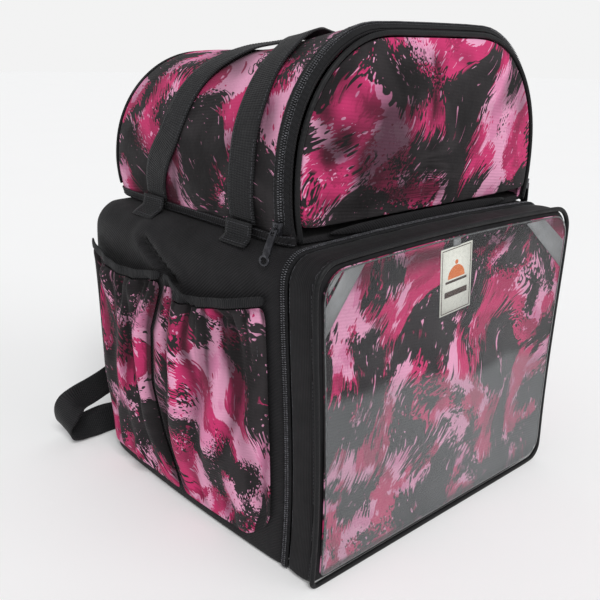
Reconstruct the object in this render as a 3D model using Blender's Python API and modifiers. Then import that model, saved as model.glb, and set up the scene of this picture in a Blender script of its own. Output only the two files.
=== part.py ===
"""Delivery backpack: a padded box with a hinged door, a domed upper box, side pockets and straps.

Frame: metres, origin at the middle of the base, X to the bag's right as it faces the viewer,
Y from the door to the wearer's back, Z up.
"""
import math
from typing import NamedTuple

import bmesh
import bpy
from mathutils import Matrix, Vector

# Whole bag
BODY_WIDTH = 0.400
BODY_DEPTH = 0.390
BODY_HEIGHT = 0.333
GAP = 0.0003

# Lower box
BODY_WALL = 0.006
SIDE_BULGE = 0.022
TOP_CORNER = 0.028
BASE_CORNER = 0.007
CORNER_FADE = 0.16
BACK_CORNER = 0.020
BACK_BASE_RISE = 0.008

# Door
DOOR_DEPTH = 0.042
DOOR_WALL = 0.005
DOOR_CROWN = 0.004
DOOR_EDGE = 0.006
DOOR_LEFT_CORNER = 0.007
DOOR_RIGHT_CORNER = 0.022
DOOR_FACE = 0.003
DOOR_FOOT_RISE = 0.0016
DOOR_PIPING_RADIUS = 0.0026
ZIP_DEPTH = 0.008
ZIP_RECESS = 0.0012
ZIP_THICKNESS = 0.0030
CHAIN_HEIGHT = 0.0018
ZIP_CHAIN_SHARES = (0.20, 0.30, 0.70, 0.80)

# Layers on the door
PRINT_THICKNESS = 0.0010
PRINT_INSET = 0.0045
PRINT_FOOT = 0.0050
STRIP_THICKNESS = 0.0004
FILM_THICKNESS = 0.0005
LABEL_WIDTH = 0.050
LABEL_HEIGHT = 0.071
LABEL_X = -0.0105
LABEL_DROP = 0.0465
LABEL_TILT = math.radians(4.0)
STUB_WIDTH = 0.012
STUB_LENGTH = 0.009

# Dome
DOME_FRONT_SETBACK = 0.002
DOME_BACK_SETBACK = 0.010
DOME_LEDGE = 0.010
DOME_HEIGHT = 0.193
DOME_FRONT = DOOR_DEPTH + ZIP_DEPTH + DOME_FRONT_SETBACK
DOME_BACK = BODY_DEPTH - DOME_BACK_SETBACK
DOME_HALF_WIDTH = BODY_WIDTH / 2 - DOME_LEDGE
DOME_TOP = BODY_HEIGHT + DOME_HEIGHT
DOME_WALL = 0.006
DOME_TUCK = 0.007
DOME_TUCK_HEIGHT = 0.045
DOME_FOOT_CORNER = 0.004
DOME_BACK_CORNER = 0.008
DOME_PIPING_RADIUS = 0.0029
BACK_PIPING_RADIUS = 0.0020
PANEL_THICKNESS = 0.005
PANEL_CROWN = 0.008
PANEL_SHARES = (0.00, 0.06, 0.20, 0.45)
FRONT_BAND_HEIGHT = 0.015
FRONT_BAND_THICKNESS = 0.004
BINDING_HEIGHT = 0.011
BINDING_THICKNESS = 0.0016
BINDING_STAND_OFF = 0.0006

# Dome zip
DOME_ZIP_SETBACK = 0.0040
DOME_ZIP_START = DOME_FRONT + DOME_ZIP_SETBACK
DOME_ZIP_WIDTH = 0.0160
DOME_ZIP_THICKNESS = 0.0010
DOME_CHAIN_FROM_EDGE = 0.0065
DOME_CHAIN_WIDTH = 0.0080
SLIDER_LENGTH = 0.0120
SLIDER_WIDTH = 0.0095
SLIDER_HEIGHT = 0.0045
BAIL_RADIUS = 0.0040
BAIL_WIRE = 0.0008
BAIL_ROOT = 3 * BAIL_WIRE
PIVOT_HEIGHT = 0.0017
PULL_LENGTH = 0.0360
PULL_WIDTH = 0.0072
PULL_THICKNESS = 0.0016
PULL_RING_RADIUS = 0.0050
PULL_RING_HOLE = 0.0032
PULL_NECK = 0.8
PULL_SHOULDER = 1.6
PULL_SLOT_WIDTH = 0.0042
PULL_SLOT_LENGTH = 0.0052
PULL_BAR = 0.0008
PULL_SWING_OUT = math.radians(14.0)
PULL_SWING_BACK = math.radians(11.0)

# Carry handles
HANDLE_WIDTH = 0.039
HANDLE_THICKNESS = 0.0018
HANDLE_STAND_OFF = 0.0012
HANDLE_ARCH = 0.015
HANDLE_CLEARANCE = 0.0035
TAB_THICKNESS = 0.0016
TAB_STAND_OFF = 0.0007
TAB_ANGLES = (70, 62, 54, 46, 38)

# Side pockets
POCKET_FRONT_SHARE = 0.200
POCKET_DIVIDER_SHARE = 0.6026
POCKET_REAR_SETBACK = 0.012
POCKET_TOP_SHARE = 0.847
POCKET_FRONT_EDGE = BODY_DEPTH * POCKET_FRONT_SHARE
POCKET_DIVIDER = BODY_DEPTH * POCKET_DIVIDER_SHARE
POCKET_REAR_EDGE = BODY_DEPTH - POCKET_REAR_SETBACK
POCKET_TOP = BODY_HEIGHT * POCKET_TOP_SHARE
POCKET_BOTTOM = 0.014
POCKET_CLOTH = 0.0016
POCKET_STAND_OFF = 0.0011
POCKET_BULGE = 0.0130
POCKET_PUFF_POWER = 0.8
POCKET_FOLD = 0.0022
POCKET_FOLDS = 5
POCKET_SPLIT = 0.0056
POCKET_CORNER_CUT = 0.020
POCKET_BINDING_HEIGHT = 0.010
POCKET_BINDING_THICKNESS = 0.0026

# Carrying straps
STRAP_REACH = 0.045
PAD_WIDTH = 0.066
PAD_THICKNESS = 0.013
WEBBING_WIDTH = 0.038
WEBBING_THICKNESS = 0.0018
BUCKLE_WIDTH = 0.048
BUCKLE_THICKNESS = 0.005
BUCKLE_STAND_OFF = 0.0012

# Number of intervals along each stretch
BASE_STEPS = 3
BASE_CORNER_STEPS = 4
SIDE_STEPS = 7
SHOULDER_STEPS = 5
TOP_STEPS = 3
DOME_SIDE_STEPS = 5
DOME_CORNER_STEPS = 9
PULL_RING_STEPS = 10
BAIL_STEPS = 8
WIRE_STEPS = 6
HANDLE_STEPS = 18
POCKET_COLUMNS = 14
POCKET_RISES = 8
PAD_STEPS = 12
LEFT_WEBBING_STEPS = 30
RIGHT_WEBBING_STEPS = 12


class TaperRow(NamedTuple):
    """Half width of the door's outline at one height, as a share of half the body width."""

    height: float
    width: float


class BulgeRow(NamedTuple):
    """How far one place shares in a bulge."""

    place: float
    amount: float


class DomeRow(NamedTuple):
    """One section of the dome at a share of its depth.

    Side and corner width are shares of its half width, top and corner height of its top.
    """

    depth: float
    side: float
    top: float
    corner_width: float
    corner_height: float


class RouteRow(NamedTuple):
    """A strap's centre and the direction of its width at one point.

    The centre is in shares: out from the middle of half the body width, behind the box of
    the strap reach, and up from the floor of the dome's top.
    """

    out: float
    behind: float
    up: float
    across_x: float
    across_y: float
    across_z: float


class HandleRow(NamedTuple):
    """A handle at one share of its half length: depth as a share of the body's, and lift."""

    share: float
    depth: float
    lift: float


class StripRow(NamedTuple):
    """A strip across a corner of the door: where its edges meet the top and the side.

    Shares of half the body width across and of the body height up.
    """

    name: str
    top: float
    top_near: float
    top_far: float
    reach: float
    side_far: float
    side_near: float


STRIP_ROWS = (
    StripRow("reflector_left", 0.983, -0.740, -0.860, -0.9800, 0.884, 0.795),
    StripRow("reflector_left_short", 0.980, -0.878, -0.900, -0.9650, 0.937, 0.917),
    StripRow("reflector_right", 0.983, 0.560, 0.745, 0.9800, 0.887, 0.7875),
)
DOOR_TAPER = (
    TaperRow(0.00, 1.006),
    TaperRow(0.10, 0.985),
    TaperRow(0.35, 0.978),
    TaperRow(0.60, 0.992),
    TaperRow(0.85, 1.013),
    TaperRow(1.00, 1.015),
)
BULGE_ALONG_DEPTH = (
    BulgeRow(0.00, 0.00),
    BulgeRow(0.12, 0.30),
    BulgeRow(0.35, 0.75),
    BulgeRow(0.60, 1.00),
    BulgeRow(0.85, 0.96),
    BulgeRow(1.00, 0.84),
)
BULGE_UP_HEIGHT = (
    BulgeRow(0.00, 0.40),
    BulgeRow(0.15, 0.65),
    BulgeRow(0.40, 1.00),
    BulgeRow(0.70, 0.92),
    BulgeRow(0.90, 0.80),
    BulgeRow(1.00, 0.60),
)
DOME_ROWS = (
    DomeRow(0.00, 0.955, 0.987, 0.590, 0.238),
    DomeRow(0.03, 1.000, 1.000, 0.610, 0.247),
    DomeRow(0.12, 1.005, 0.997, 0.610, 0.247),
    DomeRow(0.30, 1.000, 0.975, 0.610, 0.238),
    DomeRow(0.50, 0.995, 0.958, 0.620, 0.238),
    DomeRow(0.75, 0.985, 0.954, 0.630, 0.232),
    DomeRow(0.95, 0.970, 0.954, 0.655, 0.228),
    DomeRow(1.00, 0.960, 0.951, 0.655, 0.228),
)
POCKET_TOP_LINE = (
    BulgeRow(0.00, 1.000),
    BulgeRow(0.17, 0.945),
    BulgeRow(0.33, 0.922),
    BulgeRow(0.52, 0.965),
    BulgeRow(0.68, 0.938),
    BulgeRow(0.85, 0.952),
    BulgeRow(1.00, 0.990),
)
POCKET_UP_HEIGHT = (
    BulgeRow(0.00, 0.00),
    BulgeRow(0.10, 0.50),
    BulgeRow(0.35, 0.98),
    BulgeRow(0.65, 0.98),
    BulgeRow(0.88, 0.70),
    BulgeRow(1.00, 0.60),
)
HANDLE_FRONT_ROUTE = (
    HandleRow(0.00, 0.3128, 0.00),
    HandleRow(0.25, 0.3051, 0.00),
    HandleRow(0.45, 0.3179, 0.05),
    HandleRow(0.62, 0.3410, 0.20),
    HandleRow(0.80, 0.4308, 0.40),
    HandleRow(0.93, 0.4949, 0.50),
    HandleRow(1.00, 0.5026, 0.50),
)
HANDLE_REAR_ROUTE = (
    HandleRow(0.00, 0.7205, 0.00),
    HandleRow(0.10, 0.7051, 0.00),
    HandleRow(0.25, 0.6513, 0.00),
    HandleRow(0.45, 0.6359, 0.05),
    HandleRow(0.62, 0.6051, 0.20),
    HandleRow(0.80, 0.6051, 0.65),
    HandleRow(1.00, 0.6154, 1.00),
)
PAD_ROUTE = (
    RouteRow(0.300, -0.044, 0.8783, 1.00, 0.00, 0.10),
    RouteRow(0.330, 0.133, 0.8080, 1.00, 0.00, 0.10),
    RouteRow(0.380, 0.511, 0.7034, 1.00, 0.00, 0.15),
    RouteRow(0.460, 0.778, 0.5703, 1.00, 0.00, 0.20),
    RouteRow(0.540, 0.778, 0.4373, 1.00, 0.00, 0.20),
    RouteRow(0.600, 0.556, 0.3232, 1.00, 0.00, 0.20),
)
LEFT_WEBBING_ROUTE = (
    RouteRow(0.635, 0.533, 0.2605, 1.00, 0.00, 0.23),
    RouteRow(0.660, 0.556, 0.2243, 1.00, 0.00, 0.30),
    RouteRow(0.750, 0.711, 0.1863, 0.60, 0.00, 0.70),
    RouteRow(0.900, 0.800, 0.1521, 0.20, 0.00, 1.00),
    RouteRow(1.060, 0.778, 0.1312, 0.10, 0.00, 1.00),
    RouteRow(1.200, 0.778, 0.1141, 0.00, 0.10, 1.00),
    RouteRow(1.260, 0.844, 0.0837, 0.20, 0.60, 0.70),
    RouteRow(1.275, 0.956, 0.0513, 0.10, 0.90, 0.30),
    RouteRow(1.230, 1.000, 0.0247, 0.00, 0.90, 0.30),
    RouteRow(1.110, 0.956, 0.0285, 0.00, 0.80, 0.60),
    RouteRow(0.965, 0.778, 0.0399, 0.00, 0.30, 1.00),
    RouteRow(0.860, 0.444, 0.0447, 0.00, 0.10, 1.00),
    RouteRow(0.795, 0.133, 0.0494, 0.00, 0.00, 1.00),
    RouteRow(0.745, 0.044, 0.0504, 0.00, 0.00, 1.00),
    RouteRow(0.680, 0.036, 0.0513, 0.00, 0.00, 1.00),
)
RIGHT_WEBBING_ROUTE = (
    RouteRow(0.635, 0.533, 0.2605, 1.00, 0.00, 0.23),
    RouteRow(0.670, 0.533, 0.1996, 1.00, 0.00, 0.20),
    RouteRow(0.695, 0.378, 0.1426, 1.00, 0.00, 0.15),
    RouteRow(0.715, 0.156, 0.0989, 1.00, 0.00, 0.10),
    RouteRow(0.725, 0.049, 0.0646, 1.00, 0.00, 0.00),
    RouteRow(0.730, 0.036, 0.0304, 1.00, 0.00, 0.00),
)

BAG_DEPTHS = (0.00, 0.08, 0.16, 0.30, 0.50, 0.72, 0.93)
DOME_DEPTHS = (0.12, 0.25, 0.40, 0.58, 0.78, 0.92)
BACK_TURNS = (0.45, 0.80, 1.00)


class Finish(NamedTuple):
    """Colour, roughness and metallic value of one material."""

    name: str
    colour: tuple
    roughness: float
    metallic: float


BLACK_CLOTH = Finish("black_cloth", (0.020, 0.020, 0.021), 0.85, 0.0)
BLACK_WEBBING = Finish("black_webbing", (0.024, 0.024, 0.025), 0.80, 0.0)
BLACK_PIPING = Finish("black_piping", (0.015, 0.015, 0.016), 0.60, 0.0)
CAMOUFLAGE_CLOTH = Finish("camouflage_cloth", (0.30, 0.05, 0.13), 0.80, 0.0)
CLEAR_FILM = Finish("clear_film", (0.80, 0.80, 0.82), 0.15, 0.0)
GREY_REFLECTOR = Finish("grey_reflector", (0.21, 0.21, 0.21), 0.45, 0.0)
PALE_LABEL = Finish("pale_label", (0.73, 0.73, 0.68), 0.75, 0.0)
ZIP_TAPE = Finish("zip_tape", (0.012, 0.012, 0.013), 0.60, 0.0)
ZIP_METAL = Finish("zip_metal", (0.05, 0.05, 0.05), 0.40, 0.6)
BLACK_PLASTIC = Finish("black_plastic", (0.020, 0.020, 0.020), 0.45, 0.0)


def at_depth(distance):
    """Y of a place measured back from the door's front plane."""
    return distance - BODY_DEPTH / 2


def read_curve(rows, column, share):
    """Value of a column at a share of the first column, on a smooth curve through the rows."""
    places = [row[0] for row in rows]
    values = [getattr(row, column) for row in rows]
    share = min(max(share, places[0]), places[-1])
    last = len(rows) - 1
    i = next(k for k in range(last) if share <= places[k + 1])

    def slope(k):
        before, after = max(k - 1, 0), min(k + 1, last)
        return (values[after] - values[before]) / (places[after] - places[before])

    span = places[i + 1] - places[i]
    t = (share - places[i]) / span
    return (
        (2 * t**3 - 3 * t**2 + 1) * values[i]
        + (t**3 - 2 * t**2 + t) * span * slope(i)
        + (3 * t**2 - 2 * t**3) * values[i + 1]
        + (t**3 - t**2) * span * slope(i + 1)
    )


def steps(count):
    """Even shares from 0 to 1, count intervals."""
    return [k / count for k in range(count + 1)]


def make_material(finish):
    """Principled material of a finish, made once."""
    material = bpy.data.materials.get(finish.name)
    if material is None:
        material = bpy.data.materials.new(finish.name)
        material.use_nodes = True
        shader = material.node_tree.nodes["Principled BSDF"]
        shader.inputs["Base Color"].default_value = (*finish.colour, 1.0)
        shader.inputs["Roughness"].default_value = finish.roughness
        shader.inputs["Metallic"].default_value = finish.metallic
    return material


def new_collection(name):
    """Empty collection linked to the scene."""
    collection = bpy.data.collections.new(name)
    bpy.context.scene.collection.children.link(collection)
    return collection


def place_mesh(name, mesh_builder, finish, collection, smooth=True):
    """Object from a bmesh, in a collection, with its material."""
    mesh = bpy.data.meshes.new(name)
    mesh_builder.to_mesh(mesh)
    mesh_builder.free()
    mesh.materials.append(make_material(finish))
    if smooth:
        mesh.shade_smooth()
        mesh.set_sharp_from_angle(angle=math.radians(40))
    thing = bpy.data.objects.new(name, mesh)
    collection.objects.link(thing)
    return thing


def loft(rows, close_rows=False, close_columns=False, cap_first=False, cap_last=False):
    """Bmesh of a surface through rows of points; rows may close on each other and on themselves."""
    surface = bmesh.new()
    verts = [[surface.verts.new(point) for point in row] for row in rows]
    row_pairs = list(zip(verts, verts[1:]))
    if close_rows:
        row_pairs.append((verts[-1], verts[0]))
    count = len(verts[0])
    columns = range(count if close_columns else count - 1)
    for upper, lower in row_pairs:
        for k in columns:
            after = (k + 1) % count
            surface.faces.new((upper[k], upper[after], lower[after], lower[k]))
    if cap_first:
        surface.faces.new(verts[0])
    if cap_last:
        surface.faces.new(reversed(verts[-1]))
    bmesh.ops.recalc_face_normals(surface, faces=surface.faces)
    return surface


def face_outward(surface, index, direction):
    """Turn the whole surface round where the face with this index looks against a direction."""
    surface.faces.ensure_lookup_table()
    if surface.faces[index].normal.dot(direction) < 0:
        bmesh.ops.reverse_faces(surface, faces=surface.faces)


def thicken(thing, thickness):
    """Wall of a thickness inside an open surface."""
    wall = thing.modifiers.new("wall", "SOLIDIFY")
    wall.thickness = thickness
    wall.offset = -1.0
    wall.use_even_offset = True
    return thing


def add_tube(name, points, radius, finish, collection, closed=False):
    """Round cord through points, as a bevelled curve."""
    curve = bpy.data.curves.new(name, "CURVE")
    curve.dimensions = "3D"
    curve.bevel_depth = radius
    curve.bevel_resolution = 1
    curve.use_fill_caps = True
    spline = curve.splines.new("POLY")
    spline.points.add(len(points) - 1)
    for slot, point in zip(spline.points, points):
        slot.co = (*point, 1.0)
    spline.use_cyclic_u = closed
    curve.materials.append(make_material(finish))
    thing = bpy.data.objects.new(name, curve)
    collection.objects.link(thing)
    return thing


def add_plate(name, outline, y_front, thickness, finish, collection, holes=()):
    """Flat plate in the XZ plane from outlines of (x, z) points, its front face at y_front."""
    curve = bpy.data.curves.new(name, "CURVE")
    curve.dimensions = "2D"
    curve.fill_mode = "BOTH"
    curve.extrude = thickness / 2
    for loop in (outline, *holes):
        spline = curve.splines.new("POLY")
        spline.points.add(len(loop) - 1)
        for slot, (x, z) in zip(spline.points, loop):
            slot.co = (x, z, 0.0, 1.0)
        spline.use_cyclic_u = True
    curve.materials.append(make_material(finish))
    thing = bpy.data.objects.new(name, curve)
    thing.rotation_euler = (math.radians(90), 0.0, 0.0)
    thing.location = (0.0, y_front + thickness / 2, 0.0)
    collection.objects.link(thing)
    return thing


def add_ribbon(name, centres, acrosses, width, thickness, finish, collection):
    """Flat strap of an oblong section along a row of centres."""
    rows = []
    last = len(centres) - 1
    for k, centre in enumerate(centres):
        along = (centres[min(k + 1, last)] - centres[max(k - 1, 0)]).normalized()
        across = acrosses[k] - along * acrosses[k].dot(along)
        across.normalize()
        face = along.cross(across)
        half, rise = across * width / 2, face * thickness / 2
        low, high = centre - rise, centre + rise
        rows.append([low - half, low + half, high + half, high - half])
    surface = loft(rows, close_columns=True, cap_first=True, cap_last=True)
    return place_mesh(name, surface, finish, collection)


# Lower box and door outline


def side_half_width(depth, height):
    """Half width of the lower box at a share of its depth and of its height."""
    taper = read_curve(DOOR_TAPER, "width", height) * BODY_WIDTH / 2
    along = read_curve(BULGE_ALONG_DEPTH, "amount", depth)
    upward = read_curve(BULGE_UP_HEIGHT, "amount", height)
    return taper + SIDE_BULGE * along * upward


def lower_corner(side, depth):
    """Radius of a lower corner: the door's own in front, fading to the box's behind it."""
    front = DOOR_LEFT_CORNER if side < 0 else DOOR_RIGHT_CORNER
    return BASE_CORNER + (front - BASE_CORNER) * max(0.0, 1 - depth / CORNER_FADE)


def box_half_ring(depth, inset, base_rise, crown, base_corner):
    """Half of a section of the box, (x, z) points from the middle of the base to the top."""
    low, high = inset + base_rise, BODY_HEIGHT - inset
    points = []

    def edge(z):
        return side_half_width(depth, z / BODY_HEIGHT) - inset

    def crowned(x, z):
        return z + crown * max(0.0, 1 - (x / (BODY_WIDTH / 2 - TOP_CORNER)) ** 2)

    for share in steps(BASE_STEPS)[:-1]:
        points.append(((edge(low) - base_corner) * share, low))
    for share in steps(BASE_CORNER_STEPS):
        angle = share * math.pi / 2
        z = low + base_corner * (1 - math.cos(angle))
        points.append((edge(z) - base_corner * (1 - math.sin(angle)), z))
    for share in steps(SIDE_STEPS)[1:-1]:
        z = low + base_corner + (high - low - base_corner - TOP_CORNER) * share
        points.append((edge(z), z))
    for share in steps(SHOULDER_STEPS):
        angle = share * math.pi / 2
        z = high - TOP_CORNER * (1 - math.sin(angle))
        points.append((edge(z) - TOP_CORNER * (1 - math.cos(angle)), z))
    corner_x = points[-1][0]
    for share in steps(TOP_STEPS)[1:]:
        x = corner_x * (1 - share)
        points.append((x, crowned(x, high)))
    return points


def box_ring(depth, inset=0.0, base_rise=0.0, crown=0.0):
    """Whole section of the lower box as (x, z) points, its two lower corners rounded apart."""
    right = box_half_ring(depth, inset, base_rise, crown, lower_corner(1, depth))
    left = box_half_ring(depth, inset, base_rise, crown, lower_corner(-1, depth))
    return right + [(-x, z) for x, z in reversed(left[1:-1])]


def door_ring(inset=0.0, base_rise=0.0):
    """Outline of the door as (x, z) points, its top edge a little arched."""
    return box_ring(0.0, inset, base_rise, DOOR_CROWN)


def raise_ring(ring, y):
    """Points of a section at a place along Y."""
    return [Vector((x, y, z)) for x, z in ring]


SHELL_FRONT = DOOR_DEPTH + ZIP_DEPTH + GAP


def build_lower_shell(parts):
    """Padded black box, open at the front."""
    reach = BODY_DEPTH - SHELL_FRONT
    rows = []
    for share in BAG_DEPTHS:
        rows.append(raise_ring(box_ring(share), at_depth(SHELL_FRONT + reach * share)))
    for turn in BACK_TURNS:
        angle = turn * math.pi / 2
        inset = BACK_CORNER * (1 - math.cos(angle))
        y = at_depth(BODY_DEPTH - BACK_CORNER * (1 - math.sin(angle)))
        rise = -inset + BACK_BASE_RISE * inset / BACK_CORNER
        rows.append(raise_ring(box_ring(1.0, inset, rise), y))
    surface = loft(rows, close_columns=True, cap_last=True)
    face_outward(surface, -1, Vector((0, 1, 0)))
    return thicken(place_mesh("lower_shell", surface, BLACK_CLOTH, parts), BODY_WALL)


def build_door(parts):
    """Tray of the door, the piping on its edge and the zip between door and box."""
    outer = door_ring(0.0, DOOR_FOOT_RISE)
    rows = [
        raise_ring(door_ring(DOOR_EDGE, DOOR_FOOT_RISE), at_depth(DOOR_FACE)),
        raise_ring(outer, at_depth(DOOR_FACE + DOOR_EDGE)),
        raise_ring(outer, at_depth((DOOR_FACE + DOOR_EDGE + DOOR_DEPTH) / 2)),
        raise_ring(outer, at_depth(DOOR_DEPTH - GAP)),
    ]
    surface = loft(rows, close_columns=True, cap_first=True)
    face_outward(surface, -1, Vector((0, -1, 0)))
    thicken(place_mesh("door_tray", surface, BLACK_CLOTH, parts), DOOR_WALL)

    stand = DOOR_EDGE / 2 - (DOOR_PIPING_RADIUS + GAP) / math.sqrt(2)
    ring = raise_ring(door_ring(stand, DOOR_FOOT_RISE), at_depth(DOOR_FACE + stand))
    add_tube("door_piping", ring, DOOR_PIPING_RADIUS, BLACK_PIPING, parts, closed=True)

    rear = DOOR_DEPTH + ZIP_DEPTH
    chain = [DOOR_DEPTH + ZIP_DEPTH * share for share in ZIP_CHAIN_SHARES]
    section = (
        (DOOR_DEPTH, ZIP_RECESS),
        (chain[0], ZIP_RECESS),
        (chain[1], ZIP_RECESS - CHAIN_HEIGHT),
        (chain[2], ZIP_RECESS - CHAIN_HEIGHT),
        (chain[3], ZIP_RECESS),
        (rear, ZIP_RECESS),
        (rear, ZIP_RECESS + ZIP_THICKNESS),
        (DOOR_DEPTH, ZIP_RECESS + ZIP_THICKNESS),
    )
    rows = [raise_ring(door_ring(inset, DOOR_FOOT_RISE), at_depth(y)) for y, inset in section]
    surface = loft(rows, close_rows=True, close_columns=True)
    place_mesh("door_zipper", surface, ZIP_TAPE, parts)


# Layers on the door


def band_outline(start, end, width):
    """Four corners of a straight band between two (x, z) points."""
    run = Vector((end[0] - start[0], end[1] - start[1]))
    side = Vector((-run.y, run.x)).normalized() * width / 2
    a, b = Vector(start), Vector(end)
    return [tuple(a + side), tuple(a - side), tuple(b - side), tuple(b + side)]


def build_door_layers(parts):
    """Printed cloth, reflective strips, label and clear film in front of the door's panel."""
    print_front = DOOR_FACE - GAP - PRINT_THICKNESS
    strip_front = print_front - GAP - STRIP_THICKNESS
    film_front = strip_front - GAP - FILM_THICKNESS
    cloth = door_ring(PRINT_INSET, PRINT_FOOT)
    add_plate("window_print", cloth, at_depth(print_front), PRINT_THICKNESS, CAMOUFLAGE_CLOTH, parts)
    add_plate("window_film", cloth, at_depth(film_front), FILM_THICKNESS, CLEAR_FILM, parts)

    half = BODY_WIDTH / 2
    for row in STRIP_ROWS:
        top, reach = row.top * BODY_HEIGHT, row.reach * half
        outline = [
            (row.top_near * half, top),
            (row.top_far * half, top),
            (reach, row.side_far * BODY_HEIGHT),
            (reach, row.side_near * BODY_HEIGHT),
        ]
        add_plate(row.name, outline, at_depth(strip_front), STRIP_THICKNESS, GREY_REFLECTOR, parts)

    turn = Matrix.Rotation(LABEL_TILT, 2)
    corners = ((-0.5, -0.5), (0.5, -0.5), (0.5, 0.5), (-0.5, 0.5))
    middle = Vector((LABEL_X, BODY_HEIGHT - LABEL_DROP))
    label = [tuple(middle + turn @ Vector((x * LABEL_WIDTH, z * LABEL_HEIGHT))) for x, z in corners]
    add_plate("label_patch", label, at_depth(strip_front), STRIP_THICKNESS, PALE_LABEL, parts)
    up = turn @ Vector((0.0, 1.0))
    stub_low = middle + up * (LABEL_HEIGHT / 2 + GAP)
    stub = band_outline(tuple(stub_low), tuple(stub_low + up * STUB_LENGTH), STUB_WIDTH)
    add_plate("reflector_stub", stub, at_depth(strip_front), STRIP_THICKNESS, GREY_REFLECTOR, parts)


# Dome


def dome_sizes(depth, inset):
    """Half width, top and corner sizes of the dome at a share of its depth."""
    side = DOME_HALF_WIDTH * read_curve(DOME_ROWS, "side", depth) - inset
    top = DOME_TOP * read_curve(DOME_ROWS, "top", depth) - inset
    corner_width = DOME_HALF_WIDTH * read_curve(DOME_ROWS, "corner_width", depth) - inset
    corner_height = DOME_TOP * read_curve(DOME_ROWS, "corner_height", depth) - inset
    return side, top, corner_width, corner_height


DOME_FLOOR = BODY_HEIGHT + GAP


def dome_side(depth, z, inset=0.0):
    """Half width of the dome's side at a height below its corner, drawn in towards the foot."""
    lack = max(0.0, 1 - (z - DOME_FLOOR) / DOME_TUCK_HEIGHT)
    return dome_sizes(depth, inset)[0] - DOME_TUCK * lack**2


def dome_arch(depth, inset=0.0, start=DOME_FLOOR):
    """Arch of the dome from the left foot over the top to the right foot, (x, z) points."""
    side, top, corner_width, corner_height = dome_sizes(depth, inset)
    spring = top - corner_height
    half = []
    for share in steps(DOME_SIDE_STEPS):
        z = start + (spring - start) * share
        half.append((dome_side(depth, z, inset), z))
    for share in steps(DOME_CORNER_STEPS)[1:]:
        angle = share * math.pi / 2
        x = side - corner_width * (1 - math.cos(angle))
        half.append((x, spring + corner_height * math.sin(angle)))
    shoulder = side - corner_width
    for share in steps(TOP_STEPS)[1:]:
        half.append((shoulder * (1 - share), top))
    return [(-x, z) for x, z in half] + list(reversed(half[:-1]))


def dome_ring(depth, inset=0.0, floor=DOME_FLOOR):
    """Whole section of the dome: the arch, two small foot corners and the flat floor."""
    arch = dome_arch(depth, inset, floor + DOME_FOOT_CORNER)
    foot = arch[-1][0] - DOME_FOOT_CORNER
    floor_points = [(foot * share, floor) for share in (1.0, 0.4, -0.4, -1.0)]
    return arch + floor_points


def dome_share(distance):
    """Share of the dome's depth at a distance behind the door's front plane."""
    return (distance - DOME_FRONT) / (DOME_BACK - DOME_FRONT)


DOME_SHELL_FRONT = DOME_FRONT + DOME_PIPING_RADIUS + GAP


def zip_stops():
    """Distances at which the dome's skin and the zip on it share their sections."""
    chain = DOME_ZIP_START + DOME_CHAIN_FROM_EDGE
    half = DOME_CHAIN_WIDTH / 2
    return [DOME_ZIP_START, chain - half, chain + half, DOME_ZIP_START + DOME_ZIP_WIDTH]


def dome_stops():
    """Distances of the dome's sections up to its back corner."""
    behind = [DOME_FRONT + (DOME_BACK - DOME_FRONT) * share for share in DOME_DEPTHS]
    return [DOME_SHELL_FRONT, *zip_stops(), *behind]


def build_dome_shell(parts):
    """Padded upper box with an arched outline, open at the front."""
    rows = []
    for distance in dome_stops():
        rows.append(raise_ring(dome_ring(dome_share(distance)), at_depth(distance)))
    for turn in BACK_TURNS:
        angle = turn * math.pi / 2
        inset = DOME_BACK_CORNER * (1 - math.cos(angle))
        y = at_depth(DOME_BACK - DOME_BACK_CORNER * (1 - math.sin(angle)))
        rows.append(raise_ring(dome_ring(1.0, inset), y))
    surface = loft(rows, close_columns=True, cap_last=True)
    face_outward(surface, -1, Vector((0, 1, 0)))
    thicken(place_mesh("dome_shell", surface, CAMOUFLAGE_CLOTH, parts), DOME_WALL)


def build_dome_front(parts):
    """Crowned front panel, the band under it and the piping round it."""
    inset = DOME_PIPING_RADIUS + GAP
    floor = DOME_FLOOR + FRONT_BAND_HEIGHT
    edge_y = DOME_FRONT - DOME_PIPING_RADIUS / 2
    rim = dome_ring(0.0, inset, floor)
    middle_z = (floor + DOME_TOP) / 2
    rows = []
    for share in PANEL_SHARES:
        lift = PANEL_CROWN * (1 - (1 - share) ** 3)
        ring = [(x * (1 - share), middle_z + (z - middle_z) * (1 - share)) for x, z in rim]
        rows.append(raise_ring(ring, at_depth(edge_y - lift)))
    surface = loft(rows, close_columns=True, cap_last=True)
    face_outward(surface, -1, Vector((0, -1, 0)))
    thicken(place_mesh("dome_front", surface, CAMOUFLAGE_CLOTH, parts), PANEL_THICKNESS)

    half = dome_arch(0.0, inset)[-1][0]
    outline = [
        (-half, DOME_FLOOR),
        (half, DOME_FLOOR),
        (half, floor - GAP),
        (-half, floor - GAP),
    ]
    add_plate("front_band", outline, at_depth(edge_y), FRONT_BAND_THICKNESS, BLACK_CLOTH, parts)

    start = DOME_FLOOR + DOME_PIPING_RADIUS
    arch = raise_ring(dome_arch(0.0, 0.0, start), at_depth(DOME_FRONT))
    add_tube("dome_piping_front", arch, DOME_PIPING_RADIUS, BLACK_PIPING, parts)
    stand = DOME_BACK_CORNER * (1 - math.sqrt(0.5)) - (BACK_PIPING_RADIUS + GAP) * math.sqrt(0.5)
    start = DOME_FLOOR + BINDING_HEIGHT + BACK_PIPING_RADIUS
    arch = raise_ring(dome_arch(1.0, stand, start), at_depth(DOME_BACK - stand))
    add_tube("dome_piping_back", arch, BACK_PIPING_RADIUS, BLACK_PIPING, parts)


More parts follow.
